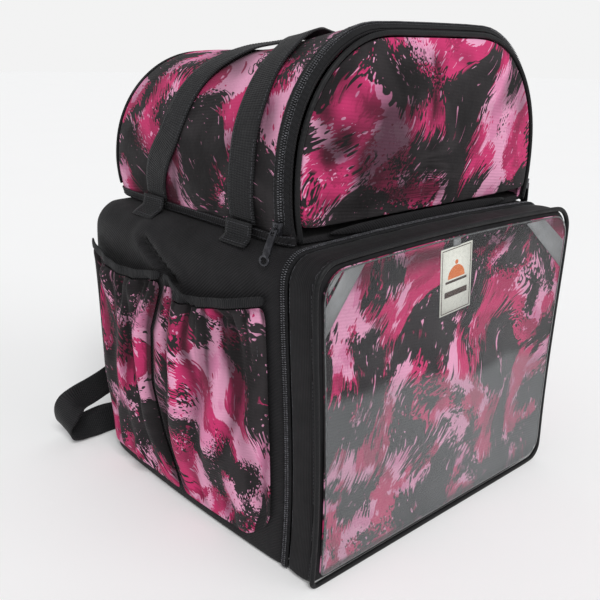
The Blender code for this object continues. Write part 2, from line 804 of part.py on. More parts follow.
def build_dome_zipper(parts):
    """Zip tape with a raised chain, running over the dome just behind its front edge."""
    start = DOME_FLOOR + BINDING_HEIGHT + 2 * GAP
    chain = DOME_ZIP_START + DOME_CHAIN_FROM_EDGE
    rear = DOME_ZIP_START + DOME_ZIP_WIDTH
    outer = GAP * 2 + DOME_ZIP_THICKNESS
    section = (
        (DOME_ZIP_START, GAP * 2),
        (DOME_ZIP_START, outer),
        (chain - DOME_CHAIN_WIDTH / 2, outer),
        (chain - DOME_CHAIN_WIDTH / 3, outer + CHAIN_HEIGHT),
        (chain + DOME_CHAIN_WIDTH / 3, outer + CHAIN_HEIGHT),
        (chain + DOME_CHAIN_WIDTH / 2, outer),
        (rear, outer),
        (rear, GAP * 2),
        (chain + DOME_CHAIN_WIDTH / 2, GAP * 2),
        (chain - DOME_CHAIN_WIDTH / 2, GAP * 2),
    )
    rows = [raise_ring(dome_arch(dome_share(y), -rise, start), at_depth(y)) for y, rise in section]
    columns = [list(column) for column in zip(*rows)]
    surface = loft(columns, close_columns=True, cap_first=True, cap_last=True)
    place_mesh("dome_zipper", surface, ZIP_TAPE, parts)


def build_seam_binding(parts):
    """Flat binding round the foot of the dome: left side, back and right side."""
    high_z = DOME_FLOOR + BINDING_HEIGHT
    path = [(distance, dome_share(distance), 0.0) for distance in dome_stops()]
    for turn in BACK_TURNS:
        angle = turn * math.pi / 2
        inset = DOME_BACK_CORNER * (1 - math.cos(angle))
        path.append((DOME_BACK - DOME_BACK_CORNER * (1 - math.sin(angle)), 1.0, inset))
    right = []
    for distance, share, inset in path:
        y = at_depth(distance)
        low = Vector((dome_side(share, DOME_FLOOR) - inset, y, DOME_FLOOR))
        high = Vector((dome_side(share, high_z) - inset, y, high_z))
        right.append((low, high))
    flip = Vector((-1, 1, 1))
    left = [(low * flip, high * flip) for low, high in reversed(right)]
    whole = right + left
    middle = Vector((0.0, at_depth((DOME_FRONT + DOME_BACK) / 2), 0.0))
    columns = []
    for k, (low, high) in enumerate(whole):
        along = whole[min(k + 1, len(whole) - 1)][0] - whole[max(k - 1, 0)][0]
        out = Vector((along.y, -along.x, 0.0)).normalized()
        if out.dot(low - middle) < 0:
            out = -out
        near, far = out * BINDING_STAND_OFF, out * (BINDING_STAND_OFF + BINDING_THICKNESS)
        columns.append([low + near, low + far, high + far, high + near])
    surface = loft(columns, close_columns=True, cap_first=True, cap_last=True)
    place_mesh("seam_binding", surface, BLACK_CLOTH, parts)


# Zip sliders and pulls


def pull_outline():
    """Outer loop, slot and ring hole of a zip pull hanging down from its pivot."""
    half = PULL_WIDTH / 2
    ring_z = -(PULL_LENGTH - PULL_RING_RADIUS - PULL_BAR)
    shoulder_z = ring_z + PULL_RING_RADIUS * PULL_SHOULDER
    neck = math.asin(min(1.0, half * PULL_NECK / PULL_RING_RADIUS))
    outer = [(-half, PULL_BAR), (-half, shoulder_z)]
    for share in steps(PULL_RING_STEPS):
        angle = math.pi / 2 + neck + (2 * math.pi - 2 * neck) * share
        outer.append((PULL_RING_RADIUS * math.cos(angle), ring_z + PULL_RING_RADIUS * math.sin(angle)))
    outer += [(half, shoulder_z), (half, PULL_BAR)]
    slot_half = PULL_SLOT_WIDTH / 2
    slot = [
        (-slot_half, -PULL_BAR),
        (slot_half, -PULL_BAR),
        (slot_half, -PULL_BAR - PULL_SLOT_LENGTH),
        (-slot_half, -PULL_BAR - PULL_SLOT_LENGTH),
    ]
    hole = []
    for share in steps(PULL_RING_STEPS)[:-1]:
        angle = 2 * math.pi * share
        hole.append((PULL_RING_HOLE * math.cos(angle), ring_z + PULL_RING_HOLE * math.sin(angle)))
    return outer, slot, hole


def slider_frame(side):
    """World matrix of a slider: local Y up the chain, local Z out of the dome's side."""
    chain = DOME_ZIP_START + DOME_CHAIN_FROM_EDGE
    z = DOME_FLOOR + BINDING_HEIGHT + SLIDER_LENGTH / 2 + 4 * GAP
    skin = dome_side(dome_share(chain), z + SLIDER_LENGTH / 2)
    rise = 2 * GAP + DOME_ZIP_THICKNESS + CHAIN_HEIGHT + 2 * GAP
    seat = Vector((side * (skin + rise), at_depth(chain), z))
    across = Vector((0.0, side, 0.0))
    up = Vector((0.0, 0.0, 1.0))
    out = Vector((side, 0.0, 0.0))
    turn = Matrix((across, up, out)).transposed()
    return Matrix.Translation(seat) @ turn.to_4x4()


def build_slider(name, side, parts, cutters):
    """Slider body with a wire bail standing on it."""
    body = bmesh.new()
    bmesh.ops.create_cube(body, size=1.0)
    for vert in body.verts:
        taper = 1.0 if vert.co.y > 0 else 0.75
        vert.co.x *= SLIDER_WIDTH * taper
        vert.co.y *= SLIDER_LENGTH
        vert.co.z = (vert.co.z + 0.5) * SLIDER_HEIGHT
    slider = place_mesh(name, body, ZIP_METAL, parts, smooth=False)
    slider.matrix_world = slider_frame(side)

    columns = []
    for share in steps(BAIL_STEPS):
        angle = math.pi * share
        out = Vector((0.0, math.cos(angle), math.sin(angle)))
        centre = Vector((0.0, 0.0, SLIDER_HEIGHT)) + out * BAIL_RADIUS
        if share in (0.0, 1.0):
            centre.z -= BAIL_ROOT
        ring = []
        for turn in steps(WIRE_STEPS)[:-1]:
            spin = 2 * math.pi * turn
            sideways = Vector((BAIL_WIRE * math.sin(spin), 0.0, 0.0))
            ring.append(centre + out * BAIL_WIRE * math.cos(spin) + sideways)
        columns.append(ring)
    surface = loft(columns, close_columns=True, cap_first=True, cap_last=True)
    bail = place_mesh(name + "_bail", surface, ZIP_METAL, cutters)
    bail.matrix_world = slider.matrix_world.copy()
    bail.hide_render = True
    bail.display_type = "WIRE"
    union = slider.modifiers.new("bail", "BOOLEAN")
    union.operation = "UNION"
    union.object = bail


def build_pull(name, side, parts):
    """Flat pull that hangs from the bail and swings out about the bar in it."""
    outer, slot, hole = pull_outline()
    pull = add_plate(name, outer, 0.0, PULL_THICKNESS, ZIP_METAL, parts, holes=(slot, hole))
    frame = slider_frame(side)
    pivot = frame @ Vector((0.0, 0.0, SLIDER_HEIGHT + PIVOT_HEIGHT))
    lean = Matrix.Rotation(side * PULL_SWING_OUT * -1, 4, "Y")
    sweep = Matrix.Rotation(PULL_SWING_BACK, 4, "X")
    plane = Matrix.Rotation(math.radians(90), 4, "X")
    facing = Matrix.Rotation(math.radians(90), 4, "Z")
    pull.matrix_world = Matrix.Translation(pivot) @ lean @ sweep @ facing @ plane


# Handles


def surface_point(depth_distance, share, lift):
    """Point over the dome's skin at a share of the way from the binding to the middle of the top."""
    arch = dome_arch(dome_share(depth_distance), -lift, DOME_FLOOR + BINDING_HEIGHT + HANDLE_CLEARANCE)
    half = [Vector((x, at_depth(depth_distance), z)) for x, z in arch[: len(arch) // 2 + 1]]
    lengths = [0.0]
    for before, after in zip(half, half[1:]):
        lengths.append(lengths[-1] + (after - before).length)
    target = lengths[-1] * share
    k = next(i for i in range(len(half) - 1) if target <= lengths[i + 1] + 1e-9)
    t = (target - lengths[k]) / (lengths[k + 1] - lengths[k])
    return half[k].lerp(half[k + 1], t)


def build_handle(name, route, parts):
    """Webbing from the left seam over the top of the dome to the right seam."""
    base_lift = HANDLE_STAND_OFF + HANDLE_THICKNESS / 2
    centres, acrosses = [], []
    for share in steps(HANDLE_STEPS):
        depth = BODY_DEPTH * read_curve(route, "depth", share)
        point = surface_point(depth, share, base_lift)
        fore = surface_point(depth - HANDLE_WIDTH / 2, share, base_lift)
        aft = surface_point(depth + HANDLE_WIDTH / 2, share, base_lift)
        hollow = (fore + aft) / 2 - point
        if hollow.z > 0 or hollow.x < 0:
            point += Vector((min(hollow.x, 0.0), 0.0, max(hollow.z, 0.0)))
        point.z += HANDLE_ARCH * read_curve(route, "lift", share)
        centres.append(point)
        acrosses.append((aft - fore).normalized())
    centres += [Vector((-p.x, p.y, p.z)) for p in reversed(centres[:-1])]
    acrosses += [Vector((-a.x, a.y, a.z)) for a in reversed(acrosses[:-1])]
    add_ribbon(name, centres, acrosses, HANDLE_WIDTH, HANDLE_THICKNESS, BLACK_WEBBING, parts)


def shoulder_point(side, distance, angle, stand_off):
    """Point over the rounded shoulder of the lower box, the angle measured up from the side."""
    share = (distance - SHELL_FRONT) / (BODY_DEPTH - SHELL_FRONT)
    skin_z = BODY_HEIGHT - TOP_CORNER * (1 - math.sin(angle))
    skin_x = side_half_width(share, skin_z / BODY_HEIGHT) - TOP_CORNER * (1 - math.cos(angle))
    x = skin_x + stand_off * math.cos(angle)
    return Vector((side * x, at_depth(distance), skin_z + stand_off * math.sin(angle)))


def build_handle_tabs(parts):
    """Short sewn tabs on the shoulder under the feet of the handles."""
    stand_off = TAB_STAND_OFF + TAB_THICKNESS / 2
    half = HANDLE_WIDTH / 2
    for label, route in (("front", HANDLE_FRONT_ROUTE), ("rear", HANDLE_REAR_ROUTE)):
        depth = BODY_DEPTH * route[0].depth
        for side_name, side in (("left", -1), ("right", 1)):
            centres, acrosses = [], []
            for degrees in TAB_ANGLES:
                angle = math.radians(degrees)
                fore = shoulder_point(side, depth - half, angle, stand_off)
                aft = shoulder_point(side, depth + half, angle, stand_off)
                centres.append(shoulder_point(side, depth, angle, stand_off))
                acrosses.append((aft - fore).normalized())
            name = "handle_tab_%s_%s" % (side_name, label)
            add_ribbon(name, centres, acrosses, HANDLE_WIDTH, TAB_THICKNESS, BLACK_WEBBING, parts)


# Side pockets


def pocket_edge_x(distance, z):
    """Half width of the lower box's skin at a distance behind the door, its back corner included."""
    share = (distance - SHELL_FRONT) / (BODY_DEPTH - SHELL_FRONT)
    width = side_half_width(share, z / BODY_HEIGHT)
    base = BASE_CORNER - z
    if base > 0:
        width -= BASE_CORNER - math.sqrt(max(0.0, BASE_CORNER**2 - base**2))
    back = distance - (BODY_DEPTH - BACK_CORNER)
    if back > 0:
        width -= BACK_CORNER - math.sqrt(max(0.0, BACK_CORNER**2 - back**2))
    return width


def pocket_point(side, start, end, u, v, z_top):
    """Point on a pocket's inner face: u along the bag, v up the pocket."""
    distance = start + (end - start) * u
    reach = POCKET_REAR_EDGE - POCKET_FRONT_EDGE
    along = (distance - POCKET_FRONT_EDGE) / reach
    top = POCKET_TOP * read_curve(POCKET_TOP_LINE, "amount", along) + z_top
    low = POCKET_BOTTOM
    if start == POCKET_FRONT_EDGE:
        low += max(0.0, POCKET_CORNER_CUT - (distance - start))
    z = low + (top - low) * v
    puff = math.sin(math.pi * u) ** POCKET_PUFF_POWER if 0 < u < 1 else 0.0
    rise = POCKET_BULGE * puff * read_curve(POCKET_UP_HEIGHT, "amount", v)
    fold = POCKET_FOLD * puff * v**2 * math.sin(2 * math.pi * POCKET_FOLDS * u)
    x = pocket_edge_x(distance, z) + POCKET_STAND_OFF + rise + fold
    return Vector((side * x, at_depth(distance), z))


def add_sheet(name, grid, thickness, side, finish, parts):
    """Cloth of a thickness on the outer side of a grid of points."""
    surface = loft(grid)
    face_outward(surface, 0, Vector((-side, 0, 0)))
    return thicken(place_mesh(name, surface, finish, parts), thickness)


def build_pocket(label, start, end, side, parts):
    """One side pocket, open on top, and the elastic binding along its mouth."""
    side_name = "left" if side < 0 else "right"
    cloth_top = -POCKET_BINDING_HEIGHT - GAP
    grid = [
        [pocket_point(side, start, end, u, v, cloth_top) for u in steps(POCKET_COLUMNS)]
        for v in steps(POCKET_RISES)
    ]
    add_sheet("pocket_%s_%s" % (side_name, label), grid, POCKET_CLOTH, side, CAMOUFLAGE_CLOTH, parts)
    top_row = grid[-1]
    lift = Vector((0, 0, GAP))
    bound = Vector((0, 0, POCKET_BINDING_HEIGHT))
    rows = [[p + lift for p in top_row], [p + lift + bound for p in top_row]]
    for row in rows:
        for point in row:
            distance = point.y - at_depth(0.0)
            skin = pocket_edge_x(distance, point.z) + POCKET_STAND_OFF
            point.x = side * max(skin, abs(point.x))
    name = "pocket_binding_%s_%s" % (side_name, label)
    add_sheet(name, rows, POCKET_BINDING_THICKNESS, side, BLACK_WEBBING, parts)


# Carrying straps


def read_route(route, share, side):
    """Centre and width direction on a smooth curve through a strap's route."""
    last = len(route) - 1
    places = [BulgeRow(k / last, 0.0) for k in range(last + 1)]
    values = []
    for column in route[0]._fields:
        rows = [BulgeRow(p.place, getattr(row, column)) for p, row in zip(places, route)]
        values.append(read_curve(rows, "amount", share))
    out, behind, up, across_x, across_y, across_z = values
    y = at_depth(BODY_DEPTH) + behind * STRAP_REACH
    centre = Vector((side * out * BODY_WIDTH / 2, y, up * DOME_TOP))
    across = Vector((side * across_x, across_y, across_z))
    return centre, across


def build_strap(name, route, side, count, width, thickness, finish, parts):
    """Strap along a route, mirrored for the left side."""
    pairs = [read_route(route, share, side) for share in steps(count)]
    centres = [pair[0] for pair in pairs]
    acrosses = [pair[1] for pair in pairs]
    add_ribbon(name, centres, acrosses, width, thickness, finish, parts)
    return centres, acrosses


def build_carrying_straps(parts):
    """Padded straps on the bag's back with their buckles and lower webbing."""
    routes = (
        ("left", -1, LEFT_WEBBING_ROUTE, LEFT_WEBBING_STEPS),
        ("right", 1, RIGHT_WEBBING_ROUTE, RIGHT_WEBBING_STEPS),
    )
    for side_name, side, webbing, count in routes:
        pads, pad_across = build_strap(
            "shoulder_pad_" + side_name, PAD_ROUTE, side, PAD_STEPS,
            PAD_WIDTH, PAD_THICKNESS, BLACK_CLOTH, parts,
        )
        build_strap(
            "strap_webbing_" + side_name, webbing, side, count,
            WEBBING_WIDTH, WEBBING_THICKNESS, BLACK_WEBBING, parts,
        )
        start, _ = read_route(webbing, 0.0, side)
        run = (start - pads[-1]).normalized()
        first = pads[-1] + run * BUCKLE_STAND_OFF
        last = start - run * BUCKLE_STAND_OFF
        acrosses = [pad_across[-1], pad_across[-1]]
        add_ribbon(
            "strap_buckle_" + side_name, [first, last], acrosses,
            BUCKLE_WIDTH, BUCKLE_THICKNESS, BLACK_PLASTIC, parts,
        )


def main():
    """Build the whole bag in order, from the box outward."""
    for thing in list(bpy.data.objects):
        bpy.data.objects.remove(thing, do_unlink=True)
    parts = new_collection("delivery_backpack")
    cutters = new_collection("cutters")
    build_lower_shell(parts)
    build_door(parts)
    build_door_layers(parts)
    build_dome_shell(parts)
    build_dome_front(parts)
    build_dome_zipper(parts)
    build_seam_binding(parts)
    for side_name, side in (("left", -1), ("right", 1)):
        build_slider("slider_" + side_name, side, parts, cutters)
        build_pull("pull_" + side_name, side, parts)
        build_pocket("front", POCKET_FRONT_EDGE, POCKET_DIVIDER - POCKET_SPLIT / 2, side, parts)
        build_pocket("rear", POCKET_DIVIDER + POCKET_SPLIT / 2, POCKET_REAR_EDGE, side, parts)
    build_handle("handle_front", HANDLE_FRONT_ROUTE, parts)
    build_handle("handle_rear", HANDLE_REAR_ROUTE, parts)
    build_handle_tabs(parts)
    build_carrying_straps(parts)


main()
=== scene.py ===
"""Looks of the food delivery bag: cloth, webbing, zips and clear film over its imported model."""

import logging
import math
from dataclasses import dataclass, field
from enum import Enum
from typing import Callable, Iterable, Optional, Sequence

import bmesh
import bpy
from mathutils import Matrix, Vector, noise
from mathutils.bvhtree import BVHTree


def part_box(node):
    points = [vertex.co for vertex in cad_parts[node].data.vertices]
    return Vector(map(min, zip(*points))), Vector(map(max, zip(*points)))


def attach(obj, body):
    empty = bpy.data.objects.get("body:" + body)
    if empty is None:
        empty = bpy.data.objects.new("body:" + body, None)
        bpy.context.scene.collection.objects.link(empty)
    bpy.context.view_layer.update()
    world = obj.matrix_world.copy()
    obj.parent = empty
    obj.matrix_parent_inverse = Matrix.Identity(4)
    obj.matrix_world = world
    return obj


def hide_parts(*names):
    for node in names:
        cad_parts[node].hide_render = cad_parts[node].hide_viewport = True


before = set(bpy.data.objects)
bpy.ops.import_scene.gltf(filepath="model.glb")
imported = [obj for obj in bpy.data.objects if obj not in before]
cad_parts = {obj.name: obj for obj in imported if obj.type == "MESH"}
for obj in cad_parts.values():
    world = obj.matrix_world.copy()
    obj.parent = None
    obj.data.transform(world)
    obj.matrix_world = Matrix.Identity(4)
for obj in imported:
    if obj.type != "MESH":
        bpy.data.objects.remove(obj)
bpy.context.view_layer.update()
LOG = logging.getLogger("delivery_bag")
MM = 0.001
Push = Callable[[Vector, Vector], Vector]
Point = tuple[float, float, float]
Socket = bpy.types.NodeSocket
Piece = bpy.types.Object
Shell = bmesh.types.BMesh


class Side(Enum):
    """The wearer's sides, as the sign of X."""

    LEFT = -1
    RIGHT = 1

    @property
    def word(self) -> str:
        """The side's name in a node."""
        return self.name.lower()


class Slot(Enum):
    """The record's material slots."""

    CLOTH = "black_cloth"
    WEBBING = "black_webbing"
    PIPING = "black_piping"
    CAMOUFLAGE = "camouflage_cloth"
    FILM = "clear_film"
    REFLECTOR = "grey_reflector"
    LABEL = "pale_label"
    TAPE = "zip_tape"
    METAL = "zip_metal"
    PLASTIC = "black_plastic"


# Finishes


def linear(red: float, green: float, blue: float) -> tuple[float, float, float, float]:
    """A screen colour, each part up to 255, as a scene colour.

    Args:
        red: Red part.
        green: Green part.
        blue: Blue part.

    Returns:
        The colour with full opacity.
    """
    parts = [part / 255 for part in (red, green, blue)]
    parts = [p / 12.92 if p <= 0.04045 else ((p + 0.055) / 1.055) ** 2.4 for p in parts]
    return (parts[0], parts[1], parts[2], 1.0)


class Recipe:
    """A material's node tree, written one step at a time."""

    def __init__(self, name: str) -> None:
        """Starts a material of that name with its main shader.

        Args:
            name: Name of the material.
        """
        self.material = bpy.data.materials.new(name)
        self.material.use_nodes = True
        self.tree = self.material.node_tree
        self.shader = self.tree.nodes["Principled BSDF"]

    def step(self, kind: str, sockets: Optional[dict] = None, out: int | str = 0, **settings: object) -> Socket:
        """Adds one node.

        Args:
            kind: Node type without its ShaderNode prefix.
            sockets: Values or sockets for its inputs.
            out: The output that is wanted.
            **settings: The node's own settings.

        Returns:
            The chosen output.
        """
        node = self.tree.nodes.new("ShaderNode" + kind)
        for key, value in settings.items():
            setattr(node, key, value)
        for key, value in (sockets or {}).items():
            if isinstance(value, Socket):
                self.tree.links.new(value, node.inputs[key])
            else:
                node.inputs[key].default_value = value
        return node.outputs[out]

    def place(self) -> Socket:
        """The point on the piece, in metres."""
        return self.step("TexCoord", out="Object")

    def strap_place(self) -> Socket:
        """The point on a strap's own map, in metres along and across."""
        return self.step("UVMap", out="UV", uv_map="strap")

    def sums(self, operation: str, *values: object, clamp: bool = False) -> Socket:
        """One step of arithmetic on numbers."""
        return self.step("Math", dict(enumerate(values)), operation=operation, use_clamp=clamp)

    def vectors(self, operation: str, *values: object, scale: Optional[float] = None, out: int | str = 0) -> Socket:
        """One step of arithmetic on vectors.

        Args:
            operation: Blender's name of the step.
            *values: Vectors or sockets, in order.
            scale: Factor, where the step takes one.
            out: The output that is wanted.

        Returns:
            The chosen output.
        """
        sockets = dict(enumerate(values))
        if scale is not None:
            sockets["Scale"] = scale
        return self.step("VectorMath", sockets, out, operation=operation)

    def clouds(
        self, at: Socket, scale: float, detail: float = 2.0, rough: float = 0.5, out: int | str = 0
    ) -> Socket:
        """Smooth noise at a scale per metre."""
        return self.step("TexNoise", {"Vector": at, "Scale": scale, "Detail": detail, "Roughness": rough}, out)

    def between(self, value: object, low: float, high: float) -> Socket:
        """A number spread from 0 to 1 between two limits."""
        return self.step("MapRange", {"Value": value, "From Min": low, "From Max": high})

    def mixed(self, share: object, first: object, second: object, blend: str = "MIX") -> Socket:
        """A colour between two others."""
        return self.step("Mix", {0: share, 6: first, 7: second}, 2, data_type="RGBA", blend_type=blend)

    def painted_shade(self) -> Socket:
        """Painted shade, from 0 to 1: how deep in a fold the point lies."""
        return self.step("Attribute", out="Fac", attribute_name="painted_shade")

    def rows(self, at: Socket, direction: Sequence[float], pitch: float) -> Socket:
        """Even rows, from 0 to 1, across a direction.

        Args:
            at: The point.
            direction: The way across the rows.
            pitch: Distance from row to row in metres.

        Returns:
            The height of the rows.
        """
        along = self.vectors("DOT_PRODUCT", at, tuple(Vector(direction).normalized()), out="Value")
        turn = self.sums("MULTIPLY", along, 2 * math.pi / pitch)
        return self.sums("MULTIPLY_ADD", self.sums("SINE", turn), 0.5, 0.5)

    def raised(
        self, height: object, distance: float, strength: float = 1.0, under: Optional[Socket] = None
    ) -> Socket:
        """A bump of that height, over another bump if there is one.

        Args:
            height: Height from 0 to 1.
            distance: Height in metres where it is 1.
            strength: Share of the bump that shows.
            under: A bump that lies under it.

        Returns:
            The bent normal.
        """
        sockets = {"Height": height, "Distance": distance, "Strength": strength}
        if under is not None:
            sockets["Normal"] = under
        return self.step("Bump", sockets)

    def finish(
        self, colour: object, rough: object, bump: Optional[Socket] = None, **fixed: object
    ) -> bpy.types.Material:
        """Joins colour, roughness and bump to the shader.

        Args:
            colour: Colour or socket.
            rough: Roughness or socket.
            bump: Normal socket.
            **fixed: Plain values of the shader's other sockets, spaces written as underscores.

        Returns:
            The finished material.
        """
        for key, value in (("Base Color", colour), ("Roughness", rough), ("Normal", bump)):
            if isinstance(value, Socket):
                self.tree.links.new(value, self.shader.inputs[key])
            elif value is not None:
                self.shader.inputs[key].default_value = value
        for key, value in fixed.items():
            self.shader.inputs[key.replace("_", " ")].default_value = value
        return self.material


@dataclass(frozen=True)
class Camouflage:
    """Printed cloth: charcoal ground, hot and light pink blots, ends combed out by brush strokes."""

    name: str
    stroke: Point
    blot: float = 0.074
    comb: float = 0.024
    bristle: float = 0.0024
    cover: float = 0.500
    shift: Point = (0.0, 0.0, 0.0)
    # Brightness of this copy of the print; the side and pocket copies are set brighter, which is painted light.
    light: float = 1.0

    def combed(self, recipe: Recipe, at: Socket, reach: float, bristle: float) -> Socket:
        """Pulls a pattern's edges into strokes.

        Args:
            recipe: The material.
            at: The bent point.
            reach: Length of the strokes in metres.
            bristle: Width of one stroke in metres.

        Returns:
            The point moved along the strokes.
        """
        run = Vector(self.stroke).normalized()
        side = run.orthogonal().normalized()
        deep = run.cross(side)
        axes = [(run, 1 / (reach * 1.6)), (side, 1 / bristle), (deep, 1 / bristle)]
        parts = {}
        for key, (axis, fine) in zip("XYZ", axes):
            dot = recipe.vectors("DOT_PRODUCT", at, tuple(axis), out="Value")
            parts[key] = recipe.sums("MULTIPLY", dot, fine)
        grain = recipe.clouds(recipe.step("CombineXYZ", parts), 1.0, 0.4, 0.5)
        pull = recipe.sums("MULTIPLY", recipe.sums("SUBTRACT", grain, 0.5), 2.6 * reach)
        along = recipe.step("CombineXYZ", {"X": pull, "Y": pull, "Z": pull})
        return recipe.vectors("ADD", at, recipe.vectors("MULTIPLY", along, tuple(run)))

    def flecks(self, recipe: Recipe, at: Socket, level: float, seed: float) -> Socket:
        """Loose single brush marks, as 0 or 1.

        Args:
            recipe: The material.
            at: The bent point.
            level: Noise above this makes a mark.
            seed: Keeps one set of marks off another.

        Returns:
            1 on a mark and 0 beside it.
        """
        run = Vector(self.stroke).normalized()
        side = run.orthogonal().normalized()
        axes = [(run, 1 / 0.011), (side, 1 / self.bristle), (run.cross(side), 1 / self.bristle)]
        parts = {}
        for key, (axis, fine) in zip("XYZ", axes):
            dot = recipe.vectors("DOT_PRODUCT", at, tuple(axis), out="Value")
            parts[key] = recipe.sums("MULTIPLY_ADD", dot, fine, seed)
        return recipe.between(recipe.clouds(recipe.step("CombineXYZ", parts), 0.55, 0.0), level, level + 0.02)

    def rim(self, recipe: Recipe, at: Socket, size: float, level: float) -> Socket:
        """Where a blot's edge is near, from 0 to 1.

        Args:
            recipe: The material.
            at: The bent point.
            size: Size of a blot in metres.
            level: Noise at a blot's edge.

        Returns:
            1 at the edge, less beside it.
        """
        cloud = recipe.clouds(at, 1 / size, 1.2, 0.45)
        return recipe.between(recipe.sums("ABSOLUTE", recipe.sums("SUBTRACT", cloud, level)), 0.060, 0.030)

    def blots(
        self, recipe: Recipe, at: Socket, size: float, level: float, seed: float, edge: float = 0.005
    ) -> Socket:
        """Where one colour lies, as 0 or 1 with a thin edge.

        Args:
            recipe: The material.
            at: The bent and combed point.
            size: Size of a blot in metres.
            level: Noise above this makes a blot.
            seed: Keeps one colour off another.
            edge: Half the width of the edge, as noise.

        Returns:
            1 on a blot and 0 beside it.
        """
        moved = recipe.vectors("ADD", at, (seed, seed * 1.7, seed * 0.6))
        cloud = recipe.clouds(moved, 1 / size, 1.2, 0.45)
        return recipe.between(cloud, level - edge, level + edge)

    def material(self) -> bpy.types.Material:
        """The printed cloth as a material.

        Returns:
            The material.
        """
        recipe = Recipe(self.name)
        at = recipe.vectors("ADD", recipe.place(), self.shift)
        drift = recipe.vectors("SUBTRACT", recipe.clouds(at, 7.0, 1.0, 0.5, "Color"), (0.5, 0.5, 0.5))
        bent = recipe.vectors("ADD", at, recipe.vectors("SCALE", drift, scale=0.16))
        long = self.combed(recipe, bent, self.comb, self.bristle)
        short = self.combed(recipe, bent, self.comb * 0.5, self.bristle * 0.75)
        charcoal, dark = linear(46, 42, 44), linear(34, 31, 33)
        hot, deep = linear(196, 50, 106), linear(166, 40, 88)
        pale, rose = linear(226, 158, 190), linear(214, 132, 170)
        ground = recipe.mixed(self.blots(recipe, bent, 0.03, 0.52, 1.9, 0.10), charcoal, dark)
        hot_tone = recipe.mixed(self.blots(recipe, short, 0.035, 0.53, 4.1, 0.02), hot, deep)
        pale_tone = recipe.mixed(self.blots(recipe, short, 0.04, 0.56, 6.3, 0.02), pale, rose)
        pink = self.blots(recipe, long, self.blot, self.cover, 0.0)
        rim = self.rim(recipe, bent, self.blot, self.cover)
        loose = recipe.sums("MULTIPLY", rim, self.flecks(recipe, bent, 0.655, 3.3))
        pink = recipe.sums("ABSOLUTE", recipe.sums("SUBTRACT", pink, loose))
        light = self.blots(recipe, short, self.blot * 0.70, 0.520, 2.7)
        light = recipe.sums("ABSOLUTE", recipe.sums("SUBTRACT", light, self.flecks(recipe, bent, 0.755, 7.9)))
        colour = recipe.mixed(pink, ground, recipe.mixed(light, hot_tone, pale_tone))
        colour = recipe.mixed(self.blots(recipe, long, self.blot * 0.75, 0.585, 8.8), colour, ground)
        colour = recipe.mixed(self.flecks(recipe, long, 0.765, 5.2), colour, pale_tone)
        # Painted shade: the print darkens towards near black in folds, under the pocket bindings and beside the
        # pocket divider.
        colour = recipe.mixed(recipe.sums("MULTIPLY", recipe.painted_shade(), 0.88), colour, linear(12, 8, 10))
        wear = recipe.between(recipe.clouds(at, 22.0, 4.0, 0.6), 0.3, 0.7)
        # Random fading, times the copy's brightness, which is painted light on the side and pocket copies.
        faded, fresh = (((share * self.light,) * 3 + (1.0,)) for share in (0.90, 1.04))
        colour = recipe.mixed(1.0, colour, recipe.mixed(wear, faded, fresh), "MULTIPLY")
        weft = recipe.rows(at, (0, 0, 1), 0.0011)
        warp = recipe.rows(at, (1, 1, 0), 0.0011)
        weave = recipe.sums("ADD", recipe.sums("MULTIPLY", weft, 0.6), recipe.sums("MULTIPLY", warp, 0.4))
        bump = recipe.raised(weave, 0.00018, 0.5)
        bump = recipe.raised(recipe.rows(at, (0.12, 0.12, 1), 0.0033), 0.00030, 0.6, bump)
        bump = recipe.raised(recipe.clouds(at, 60.0, 3.0, 0.55), 0.0022, 0.5, bump)
        rough = recipe.between(recipe.clouds(at, 35.0, 3.0), -0.9, 2.2)
        return recipe.finish(
            colour, recipe.sums("ADD", rough, 0.30), bump, Sheen_Weight=0.05, Sheen_Roughness=0.5,
            Specular_IOR_Level=0.18
        )


@dataclass(frozen=True)
class Twill:
    """Black woven cloth with slanting ribs."""

    name: str
    shade: Point = (23, 22, 24)
    slant: Point = (1.0, 1.0, 1.0)
    pitch: float = 0.0021
    relief: float = 0.00045
    soft: float = 0.0016
    gloss: float = 0.18
    rough: float = 0.52

    def material(self) -> bpy.types.Material:
        """The cloth as a material.

        Returns:
            The material.
        """
        recipe = Recipe(self.name)
        at = recipe.place()
        base = linear(*self.shade)
        dust_and_rib_highlight = tuple(min(part * 1.55 + 0.003, 1.0) for part in base[:3]) + (1.0,)
        ribs = recipe.rows(at, self.slant, self.pitch)
        cross = recipe.rows(at, (self.slant[0], -self.slant[1], self.slant[2]), self.pitch * 0.8)
        weave = recipe.sums("ADD", recipe.sums("MULTIPLY", ribs, 0.7), recipe.sums("MULTIPLY", cross, 0.3))
        dust = recipe.between(recipe.clouds(at, 28.0, 5.0, 0.62), 0.42, 0.72)
        colour = recipe.mixed(recipe.sums("MULTIPLY", dust, 0.7), base, dust_and_rib_highlight)
        # Painted highlight: rib crests of the weave are lightened towards the same lighter tone as the dust.
        colour = recipe.mixed(recipe.sums("MULTIPLY", weave, 0.45), colour, dust_and_rib_highlight)
        # Painted shade: the cloth darkens towards black in its folds and creases.
        colour = recipe.mixed(recipe.sums("MULTIPLY", recipe.painted_shade(), 0.75), colour, linear(4, 4, 5))
        bump = recipe.raised(weave, self.relief, 1.0)
        bump = recipe.raised(recipe.clouds(at, 45.0, 3.0, 0.5), self.soft, 0.5, bump)
        rough = recipe.sums("ADD", recipe.sums("MULTIPLY", recipe.clouds(at, 80.0, 3.0), 0.3), self.rough)
        return recipe.finish(
            colour, rough, bump, Sheen_Weight=0.05, Sheen_Roughness=0.45, Specular_IOR_Level=self.gloss
        )


